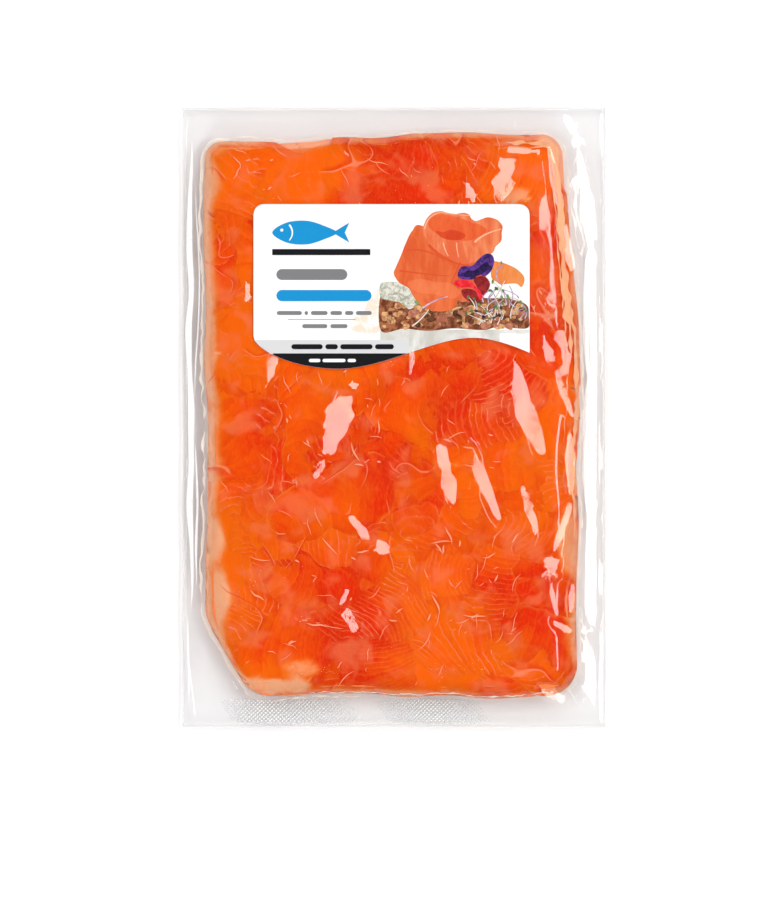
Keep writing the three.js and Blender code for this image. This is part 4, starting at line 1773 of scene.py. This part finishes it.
    def sprouts(self):
        """Thin lilac and pale stems with small green leaves."""
        draw = random.Random(self.SPROUTS_SEED)
        lilac, pale, leaves, seeds = [], [], [], []
        for number in range(self.SPROUTS):
            right, down = draw.uniform(106, 131), draw.uniform(45, 58)
            heading = draw.uniform(-2.8, -0.4)
            reach = draw.uniform(5, 10)
            tip = (min(right + reach * math.cos(heading), 131), down + reach * math.sin(heading))
            bend = (right + draw.uniform(-3, 3), (down + tip[1]) / 2)
            (lilac if number % 2 else pale).append(ribbon(((right, down), bend, tip), 0.55))
            if number % 3:
                size = draw.uniform(1.4, 2.6), draw.uniform(0.9, 1.4)
                leaves.append(oval(*tip, *size, draw.uniform(0, 180), 8))
            if number % 5 == 0:
                seeds.append(oval(right, down, 1.8, 1.3, draw.uniform(0, 180), 8))
        lilac.append(ribbon(((81, 50), (86, 46), (93, 44.4)), 0.8))
        lilac.append(ribbon(((119.4, 29.4), (113.4, 33), (119.4, 39.4)), 0.7))
        pale.append(ribbon(((76, 58.6), (80.6, 55.6), (84, 50.6)), 0.7))
        leaves.append(oval(78.4, 47.2, 3.0, 1.8, 35, 8))
        leaves.append(oval(118.8, 28.2, 1.6, 1.0, 80, 8))
        self.print_shapes("stems_lilac", lilac, (0.34, 0.24, 0.42), (0.60, 0.50, 0.62), scale=200)
        self.print_shapes("stems_pale", pale, (0.62, 0.55, 0.44), (0.80, 0.76, 0.68), scale=200)
        self.print_shapes("leaves", leaves, (0.07, 0.13, 0.03), (0.22, 0.30, 0.10), scale=300)
        self.print_shapes("seeds", seeds, (0.02, 0.015, 0.03), (0.10, 0.05, 0.04), scale=300)


# ---------------------------------------------------------------- stage


class SALMONPACK_OT_stage(PackOperator, bpy.types.Operator):
    """Add the floor, the lights and the camera over the pack"""

    bl_idname = "salmon_pack.stage"
    bl_label = "Stage"

    SENSOR = 36.0
    FLOOR_REACH = 3.0
    FLOOR_DEPTH = 0.3 * MM
    # Fill lights, kept out of the film's reflections: name, turn round the pack from +X, angle down from
    # overhead, distance, width, length and radiance.
    FILLS = (
        ("fill_right", 12, 42, 1.6, 0.9, 1.2, 2.4),
        ("fill_left", 172, 44, 1.6, 0.9, 1.2, 3.4),
        ("fill_top", 86, 40, 1.7, 1.3, 0.8, 3.2),
        ("fill_front", 272, 46, 1.7, 1.3, 0.8, 3.4),
    )
    # Width, length and radiance of the light that the film mirrors.
    KEY = (0.15, 1.1, 9.3)
    KEY_COLOUR = (1.0, 0.985, 0.93)
    WORLD = 0.045

    def execute(self, context):
        stage = self.pack.stage
        self.floor(stage)
        for name, turn, down, distance, width, length, radiance in self.FILLS:
            lamp = self.softbox(name, self.towards(turn, down) * distance, width, length, radiance)
            lamp.visible_glossy = False
        key = self.softbox("key", Vector(stage.key), *self.KEY)
        key.data.color = self.KEY_COLOUR
        self.sky()
        self.camera(stage)
        context.scene.view_settings.view_transform = "Standard"
        return {"FINISHED"}

    def floor(self, stage):
        """A wide plain floor just under the pack."""
        bm = bmesh.new()
        bmesh.ops.create_grid(bm, x_segments=8, y_segments=8, size=self.FLOOR_REACH)
        bmesh.ops.translate(bm, vec=(0, 0, -self.FLOOR_DEPTH), verts=bm.verts)
        mesh = bpy.data.meshes.new("floor")
        bm.to_mesh(mesh)
        bm.free()
        mesh.materials.append(floor_material(stage.floor))
        floor = bpy.data.objects.new("floor", mesh)
        bpy.context.scene.collection.objects.link(floor)

    def towards(self, turn, down):
        """Direction of a turn round the pack and an angle down from overhead, in degrees."""
        turn, down = math.radians(turn), math.radians(down)
        return Vector((math.sin(down) * math.cos(turn), math.sin(down) * math.sin(turn), math.cos(down)))

    def softbox(self, name, place, width, length, radiance):
        """A rectangular light that faces the pack."""
        data = bpy.data.lights.new(name, "AREA")
        data.shape = "RECTANGLE"
        data.size, data.size_y = width, length
        data.energy = radiance * width * length * math.pi
        lamp = bpy.data.objects.new(name, data)
        lamp.location = place
        lamp.rotation_euler = self.facing_pack(place).to_euler()
        bpy.context.scene.collection.objects.link(lamp)
        return lamp

    def facing_pack(self, place):
        """Turns a light to the pack, with its length along the pack's own."""
        away = place.normalized()
        across = Vector((0, 1, 0)).cross(away).normalized()
        return Matrix((across, away.cross(across), away)).transposed()

    def sky(self):
        """A dim white surround."""
        world = bpy.data.worlds.new("studio")
        world.use_nodes = True
        background = world.node_tree.nodes["Background"]
        background.inputs["Color"].default_value = WHITE
        background.inputs["Strength"].default_value = self.WORLD
        bpy.context.scene.world = world

    def camera(self, stage):
        """The camera, straight above the middle of its view."""
        data = bpy.data.cameras.new("camera")
        data.sensor_width = self.SENSOR
        data.lens = self.SENSOR * stage.camera_height / stage.view_height
        camera = bpy.data.objects.new("camera", data)
        camera.location = (stage.view_x, stage.view_y, stage.camera_height)
        bpy.context.scene.collection.objects.link(camera)
        bpy.context.scene.camera = camera


# ---------------------------------------------------------------- panel and registration


OPERATORS = (
    SALMONPACK_OT_layers,
    SALMONPACK_OT_slices,
    SALMONPACK_OT_film,
    SALMONPACK_OT_creases,
    SALMONPACK_OT_seal_band,
    SALMONPACK_OT_cut_edge,
    SALMONPACK_OT_label,
    SALMONPACK_OT_label_print,
    SALMONPACK_OT_stage,
)


class SALMONPACK_PT_panel(bpy.types.Panel):
    """Lists the pack's pieces and their settings"""

    bl_idname = "SALMONPACK_PT_panel"
    bl_label = "Salmon pack"
    bl_space_type = "VIEW_3D"
    bl_region_type = "UI"
    bl_category = "Salmon pack"

    def draw(self, context):
        pack = context.scene.salmon_pack
        for group in (pack.pouch, pack.salmon, pack.label, pack.stage):
            box = self.layout.box()
            for name in group.bl_rna.properties.keys():
                if name not in ("rna_type", "name"):
                    box.prop(group, name)
        for operator in OPERATORS:
            self.layout.operator(operator.bl_idname)


CLASSES = (*SETTINGS, PackSettings, *OPERATORS, SALMONPACK_PT_panel)


def register():
    """Registers the add-on's classes and its settings."""
    for cls in CLASSES:
        bpy.utils.register_class(cls)
    bpy.types.Scene.salmon_pack = bpy.props.PointerProperty(type=PackSettings)


def unregister():
    """Takes the settings and the classes away again."""
    del bpy.types.Scene.salmon_pack
    for cls in reversed(CLASSES):
        bpy.utils.unregister_class(cls)


def main():
    """Builds every piece and the stage."""
    register()
    for operator in OPERATORS:
        group, name = operator.bl_idname.split(".")
        getattr(getattr(bpy.ops, group), name)()


if __name__ == "__main__":
    main()
